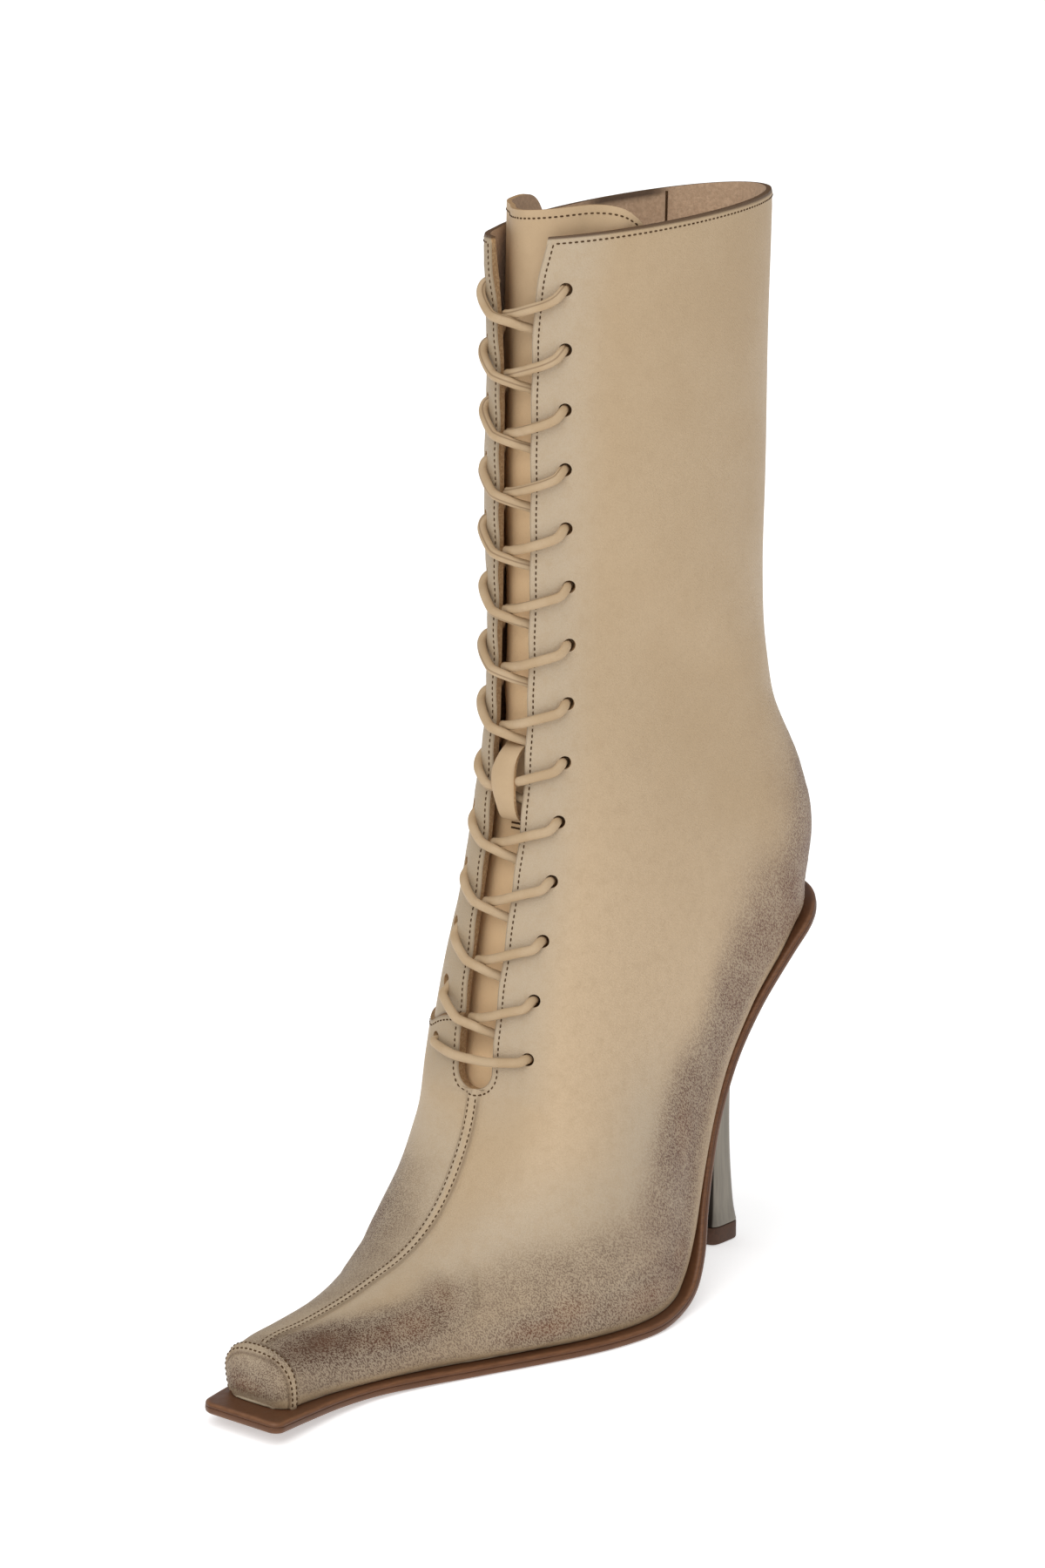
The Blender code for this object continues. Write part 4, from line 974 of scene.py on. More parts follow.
def upper_paint(side, rows, t, offset, lower, plain):
    """Numbers that the upper's materials read, at the mesh points of one side."""
    down = rows[:, None]
    on_seam = ease(down, 3.3, 3.7) * (1 - ease(down, THROAT_ROW - 0.4, THROAT_ROW))
    on_vamp = ease(down, 5.5, 8.5) * (1 - ease(down, 15.0, 18.0))
    from_cap = np.abs(down - CAP_SEAM_ROW) * CAP_SECTION
    aside = offset / seam_width(down)
    on_strip = np.maximum(on_seam * (1 - ease(aside, 1.8, 2.6)), 1 - ease(from_cap, 1.3, 1.9))
    upright = TOE_UPRIGHT * (plain[..., 2] - sole_seat(plain[..., 1]))
    above = np.where(down > TOE_END_ROW, lower, np.minimum(lower, upright))
    rub, red, climb = rub_share(plain, rows, above, OUTER_RUB if side > 0 else INNER_RUB)
    # Painted light on the sides of the foot, between the vamp and the heel
    light = ease(24.0 - down, 0.0, 8.0) * ease(down, 8.0, 11.0)
    light = light * ease(np.abs(t), 0.08, 0.22) * (1 - ease(np.abs(t), 0.6, 0.8))
    # Pale beside the facings, on top of the toe, where the rub ends, and on raised strips
    pale = np.maximum.reduce([
        0.9 * (1 - ease(offset, 9.0, 26.0)) * ease(down, THROAT_ROW - 2.0, THROAT_ROW + 1.5),
        0.8 * (1 - ease(offset, 2.5, 16.0)) * (1 - ease(down, 8.0, 11.0)),
        0.9 * on_vamp * hump(climb - 1.0, 0.35),
        0.3 * on_strip])
    # Painted shade on the inner facing, stronger towards its top, and a dark band inside the collar
    dim = (0.7 + 0.3 * ease(plain[..., 2], 290.0, 325.0)) * (side < 0) * (1 - ease(offset, 14.0, 36.0))
    dim = dim * ease(down, THROAT_ROW - 0.5, THROAT_ROW + 1.0)
    band = 0.85 * ease(down, 33.88, 33.95) * ease(-t, 0.56, 0.62) * (1 - ease(-t, 0.74, 0.80))
    by_throat = (offset < 0.35) & (down > THROAT_ROW + 0.02) & (down < COLLAR_ROW - 0.1)
    # Dark lines: burnt cut edges at the collar and the vamp panel, and painted shade along the facings' edges
    # and beside the raised strips of the centre seam and the toe cap
    burnt = np.maximum.reduce(np.broadcast_arrays(
        0.9 * (down > COLLAR_ROW - 0.03),
        0.45 * (np.abs(down - OVERLAY_ROW) < ON_STEP) * (side < 0),
        0.30 * by_throat,
        0.45 * on_seam * hump(aside - 2.2, 0.5),
        0.50 * hump(from_cap - 1.9, 0.5)))
    return {"rub": rub * (1 - 0.35 * on_strip), "red": red, "light": light, "pale": pale, "dim": dim,
            "band": band, "burnt": burnt}


def upper_side(side, rows):
    """The upper's mesh on one side: points of its outer face and its lining, and what is painted there."""
    t, offset, lower = (np.array(part) for part in zip(*(side_columns(s, side) for s in rows)))
    down = rows[:, None]
    s = down + overlay_shift(down, t)
    plain = skin(s, t)
    normal = skin_normal(s, t)
    even = even_heel(plain.copy(), rows)
    height = relief(np.broadcast_to(down, t.shape), t, offset, plain) + waist_overhang(down, lower)
    flare = (down > PARTED) * (side < 0) * inner_flare(plain[..., 2], offset)
    inner = even + normal * (flare - WALL)[..., None]
    inner[..., 2] = np.maximum(inner[..., 2], sole_seat(inner[..., 1]))
    return even + normal * height[..., None], inner, upper_paint(side, rows, t, offset, lower, plain)


def upper_faces(rows, columns):
    """Faces of the upper's wall, and which of its materials each takes: outside, lining or cut edge."""
    outer_side = np.arange(len(rows) * columns).reshape(len(rows), columns)
    inner_side = outer_side + outer_side.size
    joined_front = rows <= PARTED
    joined_back = rows >= HEEL_BACK_ROW - 0.005
    inner_side[joined_front, 0] = outer_side[joined_front, 0]
    inner_side[joined_back, -1] = outer_side[joined_back, -1]
    skin_faces = np.concatenate([grid_quads(outer_side), grid_quads(inner_side)[:, ::-1]])
    total = 2 * outer_side.size
    lining = skin_faces[:, ::-1] + total
    edges = set(zip(skin_faces.reshape(-1).tolist(), np.roll(skin_faces, -1, axis=1).reshape(-1).tolist()))
    rim = np.array([(b, a, a + total, b + total) for a, b in sorted(edges) if (b, a) not in edges])
    on_step = (np.abs(rows[:-1] - OVERLAY_ROW) < ON_STEP) & (rows[:-1] < OVERLAY_ROW)
    kinds = np.repeat([0, 1, 2], [len(skin_faces), len(lining), len(rim)])
    kinds[len(skin_faces) // 2:len(skin_faces)] = np.repeat(np.where(on_step, 2, 0), columns - 1)
    return np.concatenate([skin_faces, lining, rim]), kinds


def build_upper(leather, suede, raw):
    """The hollow upper with its lining, cut edges and punched eyelets."""
    rows = upper_rows()
    outside, lining, painted = zip(*(upper_side(side, rows) for side in (1, -1)))
    faces, kinds = upper_faces(rows, outside[0].shape[1])
    used, corners = np.unique(faces, return_inverse=True)
    points = np.concatenate([part.reshape(-1, 3) for part in outside + lining])[used]
    upper = make_piece("upper_leather", points, corners.reshape(-1, 4).tolist(), (leather, suede, raw),
                       "leather", ["upper"], kinds, sharp_angle=50)
    punch_eyelets(upper)
    tree = KDTree(len(points))
    for place, point in enumerate(to_frame(points)):
        tree.insert(point, place)
    tree.balance()
    nearest = used[[tree.find(vertex.co)[1] for vertex in upper.data.vertices]]
    for part in painted[0]:
        values = np.concatenate([share[part].reshape(-1) for share in painted])
        paint(upper, part, np.tile(values, 2)[nearest])
    return upper


def eyelet_cutter():
    """Round bars through all the eyelets, as one object."""
    angles = ring_angles(EYELET_SIDES)[:, None]
    bars = []
    for middle, tip in EYELETS:
        axis = unit(tip - middle)
        first = unit(np.cross(axis, [0.0, 0.0, 1.0]))
        ring = EYELET_RADIUS * (np.cos(angles) * first + np.sin(angles) * np.cross(axis, first))
        ends = [middle + axis * depth + ring for depth in EYELET_CUT]
        bars.append((np.concatenate(ends), ring_faces(2, EYELET_SIDES)))
    return new_object("eyelet_cutter", *joined(bars))


def punch_eyelets(upper):
    """Cuts the round holes and gives their walls the cut edge's material."""
    cutter = eyelet_cutter()
    cut = upper.modifiers.new("eyelets", "BOOLEAN")
    cut.operation = "DIFFERENCE"
    cut.solver = "MANIFOLD"
    cut.object = cutter
    bpy.context.view_layer.update()
    result = bpy.data.meshes.new_from_object(upper.evaluated_get(bpy.context.evaluated_depsgraph_get()))
    upper.modifiers.clear()
    upper.data = result
    bpy.data.objects.remove(cutter)
    centres = to_frame([middle for middle, _ in EYELETS])
    axes = np.array([unit(tip - middle) for middle, tip in EYELETS])
    for face in result.polygons:
        to_eyelets = np.array(face.center) - centres
        nearest = int(np.argmin(np.sum(to_eyelets ** 2, axis=1)))
        away = to_eyelets[nearest] - axes[nearest] * np.dot(to_eyelets[nearest], axes[nearest])
        on_wall = abs(np.dot(np.array(face.normal), axes[nearest])) < 0.5
        if on_wall and np.linalg.norm(away) < 1.05 * EYELET_RADIUS * MM:
            face.material_index = 2


def resample(points, step):
    """Evenly spaced points along a line."""
    length = lengths_along(points)
    where = np.linspace(0, length[-1], max(2, int(round(length[-1] / step)) + 1))
    return read_along(where, length, points)


# One stitch along its row: rings with their place and thickness, and how far they are pulled down
StitchRing = namedtuple("StitchRing", "along thick drop")
STITCH_RINGS = [StitchRing(*row) for row in (
    (-0.5, 0.35, 0.9), (-0.38, 0.85, 0.25), (0.0, 1.0, 0.0), (0.38, 0.85, 0.25), (0.5, 0.35, 0.9),
)]
STITCH_SIDES = 6
STITCH_REACH = 0.6          # distance over which a stitch's direction is read


def stitch_shape():
    """Points and faces of one stitch, which runs along X."""
    angles = ring_angles(STITCH_SIDES)
    rings = []
    for ring in STITCH_RINGS:
        x = np.full(STITCH_SIDES, ring.along * STITCH_LENGTH)
        y = STITCH_RADIUS * ring.thick * np.cos(angles)
        z = STITCH_RADIUS * (ring.thick * np.sin(angles) - ring.drop)
        rings.append(np.stack([x, y, z], axis=-1))
    return np.concatenate(rings), ring_faces(len(rings), STITCH_SIDES)


def surface_of(piece):
    """A piece's mesh, for laying lines on it."""
    mesh = piece.data
    return BVHTree.FromPolygons([vertex.co.copy() for vertex in mesh.vertices],
                                [face.vertices[:] for face in mesh.polygons])


def lay_on(surface, line, normals):
    """Points of a line moved along their outward directions on to a mesh."""
    laid = np.array(line, dtype=float)
    reach = 4.0
    for place, (start, normal) in enumerate(zip(to_frame(laid + normals * reach), normals)):
        hit = surface.ray_cast(Vector(start), -Vector(normal), 2 * reach * MM)[0]
        if hit is not None:
            laid[place] = (np.array(hit) - SHIFT) / MM
    return laid


def build_stitches(name, lines, surface, material):
    """Rows of stitches along lines on a mesh; each line is its points and the outward directions there."""
    shape, faces = stitch_shape()
    stitches = []
    for line, normals in lines:
        line = lay_on(surface, line, normals)
        length = lengths_along(line)
        count = int(length[-1] / STITCH_PITCH)
        where = (np.arange(count) + 0.5) * length[-1] / count
        ahead, behind = (read_along(where + step, length, line) for step in (STITCH_REACH, -STITCH_REACH))
        along = unit(ahead - behind)
        up = unit(read_along(where, length, normals))
        beside = unit(np.cross(up, along))
        for middle, *axes in zip(read_along(where, length, line), along, beside, up):
            stitches.append((middle + shape @ np.array(axes), faces))
    return make_piece(name, *joined(stitches), (material,), "lace")


def skin_line(s, t):
    """Points on the plain skin and their outward directions."""
    return skin(s, t), skin_normal(s, t)


def beside_throat(s, side):
    """t of the stitch row along one facing."""
    return side_place(s, throat_half_gap(s) + EDGE_ROW, side)


def row_below(edge, t):
    """Stitch row below an edge that runs round the upper; edge is its section numbers."""
    reach = 0.2
    step = np.linalg.norm(skin(edge, t) - skin(edge - reach, t), axis=-1) / reach
    return skin_line(edge - EDGE_ROW / step, t)


def facing_line(side):
    """Stitch row along one facing, from the throat's foot to the collar."""
    climb = np.linspace(THROAT_HALF_GAP, climb_from_throat(COLLAR_ROW) - EDGE_ROW, 600)
    s = section_of_climb(climb)
    return skin_line(s, beside_throat(s, side))


def throat_line():
    """Stitch row round the throat's foot."""
    angle = np.linspace(-np.pi / 2, np.pi / 2, 60)
    reach = THROAT_HALF_GAP + EDGE_ROW
    distance = reach * np.sin(angle)
    s = section_of_climb(THROAT_HALF_GAP - reach * np.cos(angle))
    t = np.where(distance >= 0, side_place(s, np.abs(distance), 1), side_place(s, np.abs(distance), -1))
    return skin_line(s, t)


def centre_line(side):
    """One stitch row beside the toe's centre seam."""
    s = np.linspace(CAP_SEAM_ROW + 0.4, section_of_climb(-EDGE_ROW - 0.8), 260)
    return skin_line(s, side_place(s, SEAM_ROW * seam_width(s), side))


def cap_line(shift):
    """One stitch row beside the toe cap's seam."""
    t = np.linspace(-CAP_ROW_END, CAP_ROW_END, 160)
    return skin_line(np.full(t.shape, CAP_SEAM_ROW + shift / CAP_SECTION), t)


def collar_line(side):
    """Stitch row below the collar, from the facing to the back."""
    t = np.linspace(float(beside_throat(COLLAR_ROW, side)), side, 220)
    return row_below(COLLAR_ROW, t)


def overlay_line():
    """Stitch row below the vamp panel's edge on the inner side."""
    t = np.linspace(float(beside_throat(OVERLAY_ROW, -1)), OVERLAY_END, 160)
    return row_below(OVERLAY_ROW + overlay_rise(t), t)


def lining_seam():
    """The upright seam inside the shaft, on the lining."""
    s = np.linspace(LINING_SEAM_FOOT, COLLAR_ROW - 0.04, 60)
    t = np.full(s.shape, LINING_SEAM_T)
    return skin(s, t) - skin_normal(s, t) * (WALL + 0.05)


def tongue_top_section():
    """Section number of the tongue's upper edge."""
    numbers = np.linspace(COLLAR_ROW, len(SECTIONS) - 1, 50)
    return float(np.interp(TONGUE_TOP_Z, smooth_rows(SECTIONS, numbers)[:, 1], numbers))


TONGUE_TOP = tongue_top_section()


def tongue_place(v, u):
    """Section number and t of a place on the tongue: v runs up it, u across it."""
    corner = np.where(u >= 0, TONGUE_OUT_CORNER, TONGUE_IN_CORNER)
    top = TONGUE_TOP - TONGUE_DROP * np.abs(u) ** corner
    s = TONGUE_FOOT_ROW + (top - TONGUE_FOOT_ROW) * v
    widest = np.where(u >= 0, TONGUE_OUT_T, TONGUE_IN_T)
    t = u * (TONGUE_FOOT_T + (widest - TONGUE_FOOT_T) * ease(v, 0.0, TONGUE_WIDE_AT))
    return s, t


def tongue_face(v, u, behind=0.0):
    """A point of the tongue's front face, or behind it, and the outward direction."""
    s, t = tongue_place(v, u)
    point = skin(s, t)
    distance = np.abs(point[..., 0] - section_at(s).centre)
    fade = 1 - ease(distance, LACE_SPACE_HALF, LACE_SPACE_HALF + LACE_SPACE_FADE)
    room = LACE_SPACE * ease(v, 0.03, 0.11) * fade
    normal = skin_normal(s, t)
    return point - normal * (WALL + TONGUE_GAP + room + behind)[..., None], normal


def sheet_piece(name, front, rear, materials, slot, replaces=()):
    """A closed sheet between two grids of points: front, rear and rim faces take the three materials."""
    number = np.arange(front[..., 0].size).reshape(front.shape[:2])
    quads = grid_quads(number)
    back = quads[:, ::-1] + number.size
    loop = np.concatenate([number[0, :-1], number[:-1, -1], number[-1, :0:-1], number[:0:-1, 0]])
    after = np.roll(loop, -1)
    rim = np.stack([after, loop, loop + number.size, after + number.size], axis=-1)
    faces = np.concatenate([quads, back, rim]).tolist()
    kinds = np.repeat([0, 1, 2], [len(quads), len(back), len(rim)])
    points = np.concatenate([front.reshape(-1, 3), rear.reshape(-1, 3)])
    return make_piece(name, points, faces, materials, slot, replaces, kinds, sharp_angle=50)


TONGUE_SECTION = 23.0       # millimetres of one section by the tongue's upper edge
TONGUE_WAVE = 0.25          # height of its low waves
TONGUE_WAVES = 41.0         # how close together they are
TACK_DROPS = (1.0, 2.5)     # how far the two tacks lie below the keeper's foot
TACK_RADIUS = 0.34


def build_tongue(leather, suede, raw, thread):
    """The wide tongue with its stitched round top."""
    along = np.concatenate([np.linspace(0, 0.9, 110), np.linspace(0.905, 1.0, 24)])
    half = np.sin(np.linspace(0, np.pi / 2, 50))
    across = np.concatenate([-half[:0:-1], half])
    v, u = np.meshgrid(along, across, indexing="ij")
    front, normal = tongue_face(v, u)
    fade = (1 - u ** 2) * ease(v, 0.05, 0.2) * (1 - ease(v, 0.85, 0.95))
    front = front + normal * (TONGUE_WAVE * np.sin(v * TONGUE_WAVES + 1.5 * u) * fade)[..., None]
    rear = front - normal * TONGUE_THICKNESS
    tongue = sheet_piece("tongue_leather", front, rear, (leather, suede, raw), "leather", ["tongue"])
    # painted bounce light on the lower tongue, fading out towards its top
    paint(tongue, "painted_bounce", np.tile((0.75 * (1 - ease(v, 0.80, 0.95))).reshape(-1), 2))
    u = np.linspace(-0.97, 0.965, 320)
    s, _ = tongue_place(np.ones(u.shape), u)
    v = 1 - EDGE_ROW / TONGUE_SECTION / (s - TONGUE_FOOT_ROW)
    surface = surface_of(tongue)
    build_stitches("tongue_stitches", [tongue_face(v, u)], surface, thread)
    tacks = [sweep(lay_on(surface, *loop_tack(below)), TACK_RADIUS, 6)[:2] for below in TACK_DROPS]
    make_piece("tongue_loop_tacks", *joined(tacks), (thread,), "lace")


def loop_tack(below):
    """A short bar across the tongue, this far below the keeper's foot, and the outward directions there."""
    x = np.linspace(LOOP_X - 2.6, LOOP_X + 2.4, 12)
    line = [lift_point(place, LOOP_FOOT_Z - below, -(WALL + TONGUE_GAP + LACE_SPACE)) for place in x]
    tips = [lift_point(place, LOOP_FOOT_Z - below, 0.0) for place in x]
    return np.array(line), unit(np.array(tips) - np.array(line))


# Softness of the keeper's strap
LOOP_REST = 0.6             # how far its ends lie over the tongue
LOOP_EDGE = 0.28            # how much thinner its long edges are
LOOP_SWAY = 0.5             # how far it wanders to the side
LOOP_TWIST = 0.10           # how far it turns, in radians
LOOP_CURL = 1.3             # how far its long edges bend in
LOOP_SWELL = 0.20           # how much wider its middle is, as a share


def build_tongue_loop(leather, raw):
    """The small keeper on the tongue: a soft strap bowed out over one crossing of the lace."""
    part = np.linspace(0, 1, 60)
    across = np.linspace(-1, 1, 17)
    heights = LOOP_FOOT_Z + (LOOP_HEAD_Z - LOOP_FOOT_Z) * part
    middles, tips = (np.array([lift_point(0.0, z, lift) for z in heights]) for lift in (0.0, 1.0))
    out = unit(tips - middles)
    bow = np.sin(np.pi * part)
    lift = LOOP_BOW * bow ** 0.5 - (WALL + TONGUE_GAP + LACE_SPACE - LOOP_REST)
    edge = LOOP_EDGE * (1 - (1 - np.abs(across)) ** 0.5) ** 3
    sway = LOOP_X + LOOP_SWAY * np.sin(2 * np.pi * part + 0.4)
    twist = LOOP_TWIST * bow * np.sin(2 * np.pi * part + 0.8)
    curl = LOOP_CURL * bow[:, None] * across ** 2
    reach = sway[:, None] + LOOP_HALF_WIDTH * (1 + LOOP_SWELL * bow ** 2)[:, None] * across
    rear = (middles + out * lift[:, None])[:, None] + reach[..., None] * np.array([1.0, 0.0, 0.0])
    rear = rear + out[:, None] * (twist[:, None] * LOOP_HALF_WIDTH * across - curl)[..., None]
    front = rear + out[:, None] * (LOOP_THICKNESS - edge)[None, :, None]
    sheet_piece("tongue_loop_strap", front, rear, (leather, raw, raw), "leather", ["tongue_loop"])


def smooth_path(points, step):
    """Evenly spaced points on a smooth curve through points."""
    numbers = np.linspace(0, len(points) - 1, 14 * len(points))
    return resample(smooth_rows(points, numbers), step)


def sweep(points, radius, sides, groove=0.0):
    """Points and faces of a round cord along points, with one groove along it, and where the groove is."""
    along = unit(np.gradient(points, axis=0))
    angles = ring_angles(sides)
    seam = hump(np.minimum(angles, 2 * np.pi - angles), GROOVE_ANGLE)
    normal = unit(np.cross(along[0], np.cross([0.0, 0.0, 1.0], along[0])))
    rings = []
    for place, direction, thick in zip(points, along, np.broadcast_to(radius, len(points))):
        normal = unit(normal - direction * np.dot(normal, direction))
        beside = np.cross(direction, normal)
        ring = np.cos(angles)[:, None] * normal + np.sin(angles)[:, None] * beside
        rings.append(place + thick * (1 - groove * seam)[:, None] * ring)
    return np.concatenate(rings), ring_faces(len(points), sides), np.tile(seam, len(points))


# One run of lace down from its eyelet: distance from the centre line on its own side, drop below the eyelet
# and height over the skin. The first stops lie beside the eyelet, x counted from it.
LaceStop = namedtuple("LaceStop", "x drop height")
LACE_START = [LaceStop(*row) for row in (
    (-0.4, 0.0, -2.6),
    (-0.5, 0.1, -0.8),
    (-0.9, 0.8, 0.75),
    (-2.2, 2.6, 1.6),
)]
INNER_START = [LaceStop(*row) for row in (
    (-0.3, 0.0, -2.6),
    (-0.4, 0.3, -0.9),
    (-0.6, 1.4, 0.5),
    (-1.7, 3.4, 1.35),
)]
LOW_INNER_START = [LaceStop(*row) for row in (
    (-0.3, 0.0, -2.6),
    (-0.8, 0.5, -1.4),
    (-1.6, 1.6, -0.4),
    (-2.9, 3.6, 0.6),
)]
OUTER_RUN = [LaceStop(*row) for row in (
    (10.5, 4.3, 1.75),
    (6.4, 5.9, 1.6),
    (3.0, 7.0, 0.2),
    (-1.0, 8.1, -1.2),
    (-4.4, 8.8, -2.2),
    (-6.6, 9.2, -3.4),
    (-10.0, 11.5, -3.9),
    (-14.0, 15.5, -3.9),
)]
INNER_RUN = [LaceStop(*row) for row in (
    (11.0, 5.8, 1.6),
    (6.8, 8.7, 1.9),
    (4.4, 9.6, 1.7),
    (1.5, 10.5, 0.6),
    (-1.5, 11.5, -1.0),
    (-4.2, 12.3, -2.6),
    (-6.6, 13.2, -3.7),
    (-10.0, 14.6, -3.9),
    (-14.0, 16.6, -3.9),
)]
LOOP_CROSSING = 8           # crossing that runs under the tongue's keeper
LOOP_TUCK = 1.2             # how far it is pulled in there
LOOP_TUCK_FROM = -4.0       # between these distances from the centre line
LOOP_TUCK_TO = 5.0
LACE_SAG = 2.5              # sag of the bar at the throat's foot
LACE_END = 0.8              # how far above the top eyelets the hidden ends stop
LACE_END_IN = 0.8           # and how far in from them
LACE_SQUEEZE = 0.38         # how much thinner the lace gets in the lower eyelets of the inner side
SQUEEZE_REACH = 3.6         # how far from those eyelets that fades
GROOVE_ANGLE = 0.28         # half width of the groove along it, in radians
GROOVE_DEPTH = 0.16         # as a share of its radius
LACE_SIDES = 14
LACE_STEP = 0.75            # length of one piece of its mesh
LACE_BEHIND = 3.9           # how far behind the skin its ends lie
BAR_STOPS = (11.0, 6.0, 0.0)
BAR_HEIGHT = 1.9            # height of the bar over the facings
BAR_FLATTER = 3             # how many times flatter than a crossing it leaves its eyelets
BAR_CLIMB = 6.0             # distance from the centre line at which it lies on the vamp panel


def with_flare(x, z):
    """How far the lace moves out with the inner facing's flare; x is below zero on the inner side."""
    return float(ease(-x, 0.0, THROAT_HALF_GAP) * inner_flare(z, max(-x - THROAT_HALF_GAP, 0.0)))


def lace_half(side):
    """Points of the lace from the top eyelet on one side down to the bottom row."""
    x, z = side * (EYELET_X - LACE_END_IN), EYELET_TOP_Z + LACE_END
    points = [lift_point(x, z, with_flare(x, z) - LACE_BEHIND)]
    for row in range(EYELET_ROWS - 1):
        distance, top = eyelet_row(row)
        on_panel = OVERLAY_RAISE * (side < 0 and row == EYELET_ROWS - 2)
        inner_start = LOW_INNER_START if row >= LOOP_CROSSING else INNER_START
        for stop in LACE_START if side > 0 else inner_start:
            climb = on_panel * (stop.height > 0) + with_flare(side * (distance + stop.x), top - stop.drop)
            points.append(lift_point(side * (distance + stop.x), top - stop.drop, stop.height + climb))
        for stop in OUTER_RUN if side > 0 else INNER_RUN:
            tuck = LOOP_TUCK * (row == LOOP_CROSSING and LOOP_TUCK_FROM < stop.x < LOOP_TUCK_TO)
            climb = on_panel * float(ease(stop.x, OVERLAY_START, OVERLAY_FULL))
            climb += with_flare(side * stop.x, top - stop.drop)
            points.append(lift_point(side * stop.x, top - stop.drop, stop.height + climb - tuck))
        side = -side
    return points


def lace_bottom(side):
    """Points of the plain bar over both facings, from the bottom eyelet on one side to the other."""
    distance, z = eyelet_row(EYELET_ROWS - 1)
    first = [(distance + stop.x, stop.drop / BAR_FLATTER, stop.height) for stop in LACE_START]
    for x in BAR_STOPS:
        first.append((x, LACE_SAG * (1 - (x / distance) ** 2), BAR_HEIGHT))
    points = []
    for sign, stops in ((side, first), (-side, first[-2::-1])):
        for x, drop, height in stops:
            raised = OVERLAY_RAISE * float(ease(-sign * x, 0.0, BAR_CLIMB)) * (height > 0)
            points.append(lift_point(sign * x, z - drop, height + raised))
    return points


def build_lace(material):
    """The lace: one cord from one top eyelet down to the bottom bar and up to the other top eyelet."""
    down = lace_half(1)
    up = lace_half(-1)
    bar = lace_bottom(1 if EYELET_ROWS % 2 else -1)
    path = smooth_path(np.array(down + bar + up[::-1]), LACE_STEP)
    squeezed = np.array([middle for middle, _ in EYELETS[2 * LOOP_CROSSING + 1::2]])
    nearest = np.min(np.linalg.norm(path[:, None] - squeezed, axis=-1), axis=1)
    radius = LACE_RADIUS * (1 - LACE_SQUEEZE * hump(nearest, SQUEEZE_REACH))
    points, faces, seam = sweep(path, radius, LACE_SIDES, GROOVE_DEPTH)
    nodes = ["lace_bar"] + [f"lace_cross_{row + 1:02d}" for row in range(EYELET_ROWS - 1)]
    lace = make_piece("lace_cord", points, faces, (material,), "lace", nodes, sharp_angle=80)
    paint(lace, "seam", seam)


SOLE_TOE_PART = 0.3         # part of the first stretch between stations that has closer points
SOLE_END_PART = 0.8         # and of the last one


def sole_outline():
    """The sole's edge laid flat: distance along the sole and X of each point, and its outward directions."""
    last = len(SOLE) - 1
    where = np.concatenate([np.linspace(0, SOLE_TOE_PART, 24) ** 2 / SOLE_TOE_PART,
                            np.linspace(SOLE_TOE_PART + 0.02, last - SOLE_END_PART, 240),
                            last - SOLE_END_PART * np.linspace(1, 0, 40)[1:] ** 2])
    station = Station(*np.moveaxis(smooth_rows(SOLE, where), -1, 0))
    z = np.maximum(station.z, 0.0)
    length = lengths_along(np.stack([station.y, z], axis=-1))
    toe = np.clip((SOLE[0].y + TOE_CORNER - station.y) / TOE_CORNER, 0, 1)
    trim = TOE_CORNER * (1 - np.sqrt(1 - toe ** 2))
    end = np.clip((station.y - SOLE[-1].y + HEEL_END) / HEEL_END, 0, 1)
    middle = (station.out_x + station.in_x) / 2
    half = np.maximum((station.out_x - station.in_x) / 2 * np.sqrt(1 - end ** 2) - trim, 0.8)
    flat = np.concatenate([np.stack([length, middle + half], axis=-1),
                           np.stack([length, middle - half], axis=-1)[::-1]])
    forward = unit(np.roll(flat, -1, axis=0) - flat)
    backward = unit(flat - np.roll(flat, 1, axis=0))
    direction = unit(forward + backward)
    outward = np.stack([-direction[:, 1], direction[:, 0]], axis=-1)
    return flat, outward, (length, station.y, z)


# worn is each level's share of the lighter brown: worn edges, and painted highlights along the rounded edges
SoleLevel = namedtuple("SoleLevel", "inset height worn")
SOLE_LEVELS = [SoleLevel(*row) for row in (
    (1.0, 0.0, 0.0), (0.5, 0.12, 0.2), (0.15, 0.4, 0.5), (0.0, 0.9, 0.2),
    (0.0, 1.85, 0.0), (0.05, 1.98, 0.0), (0.24, 2.10, 0.0), (0.05, 2.22, 0.0),
    (0.0, 2.34, 0.0), (0.08, 2.7, 0.2), (0.28, 3.05, 0.6), (0.62, 3.32, 0.6),
    (1.1, 3.47, 0.2), (1.7, 3.5, 0.0),
)]


def build_sole(material):
    """The outsole: rounded edges with one fine groove along the side."""
    flat, outward, (length, base_y, base_z) = sole_outline()
    slope_y = np.gradient(base_y, length)
    slope_z = np.gradient(base_z, length)
    steep = np.hypot(slope_y, slope_z)
    points = []
    for level in SOLE_LEVELS:
        place = flat - outward * level.inset
        along = np.clip(place[:, 0], 0, length[-1])
        up_y = -np.interp(along, length, slope_z / steep) * level.height
        up_z = np.interp(along, length, slope_y / steep) * level.height
        y = np.interp(along, length, base_y) + up_y
        z = np.interp(along, length, base_z) + up_z
        points.append(np.stack([place[:, 1], y, z], axis=-1))
    count = len(flat)
    faces = ring_faces(len(SOLE_LEVELS), count)[:-2]
    for start in (0, (len(SOLE_LEVELS) - 1) * count):
        for place in range(count // 2 - 1):
            other = count - 1 - place
            faces.append((start + place, start + place + 1, start + other - 1, start + other))
    sole = make_piece("outsole_leather", np.concatenate(points), faces, (material,), "sole", ["outsole"],
                      sharp_angle=70)
    paint(sole, "worn", np.repeat([level.worn for level in SOLE_LEVELS], count))


def heel_ring():
    """Shares across and ahead of the points of the heel's squarish ring."""
    angles = ring_angles(HEEL_SIDES, 0.5)
    return [np.sign(part) * np.abs(part) ** HEEL_POWER for part in (np.sin(angles), np.cos(angles))]


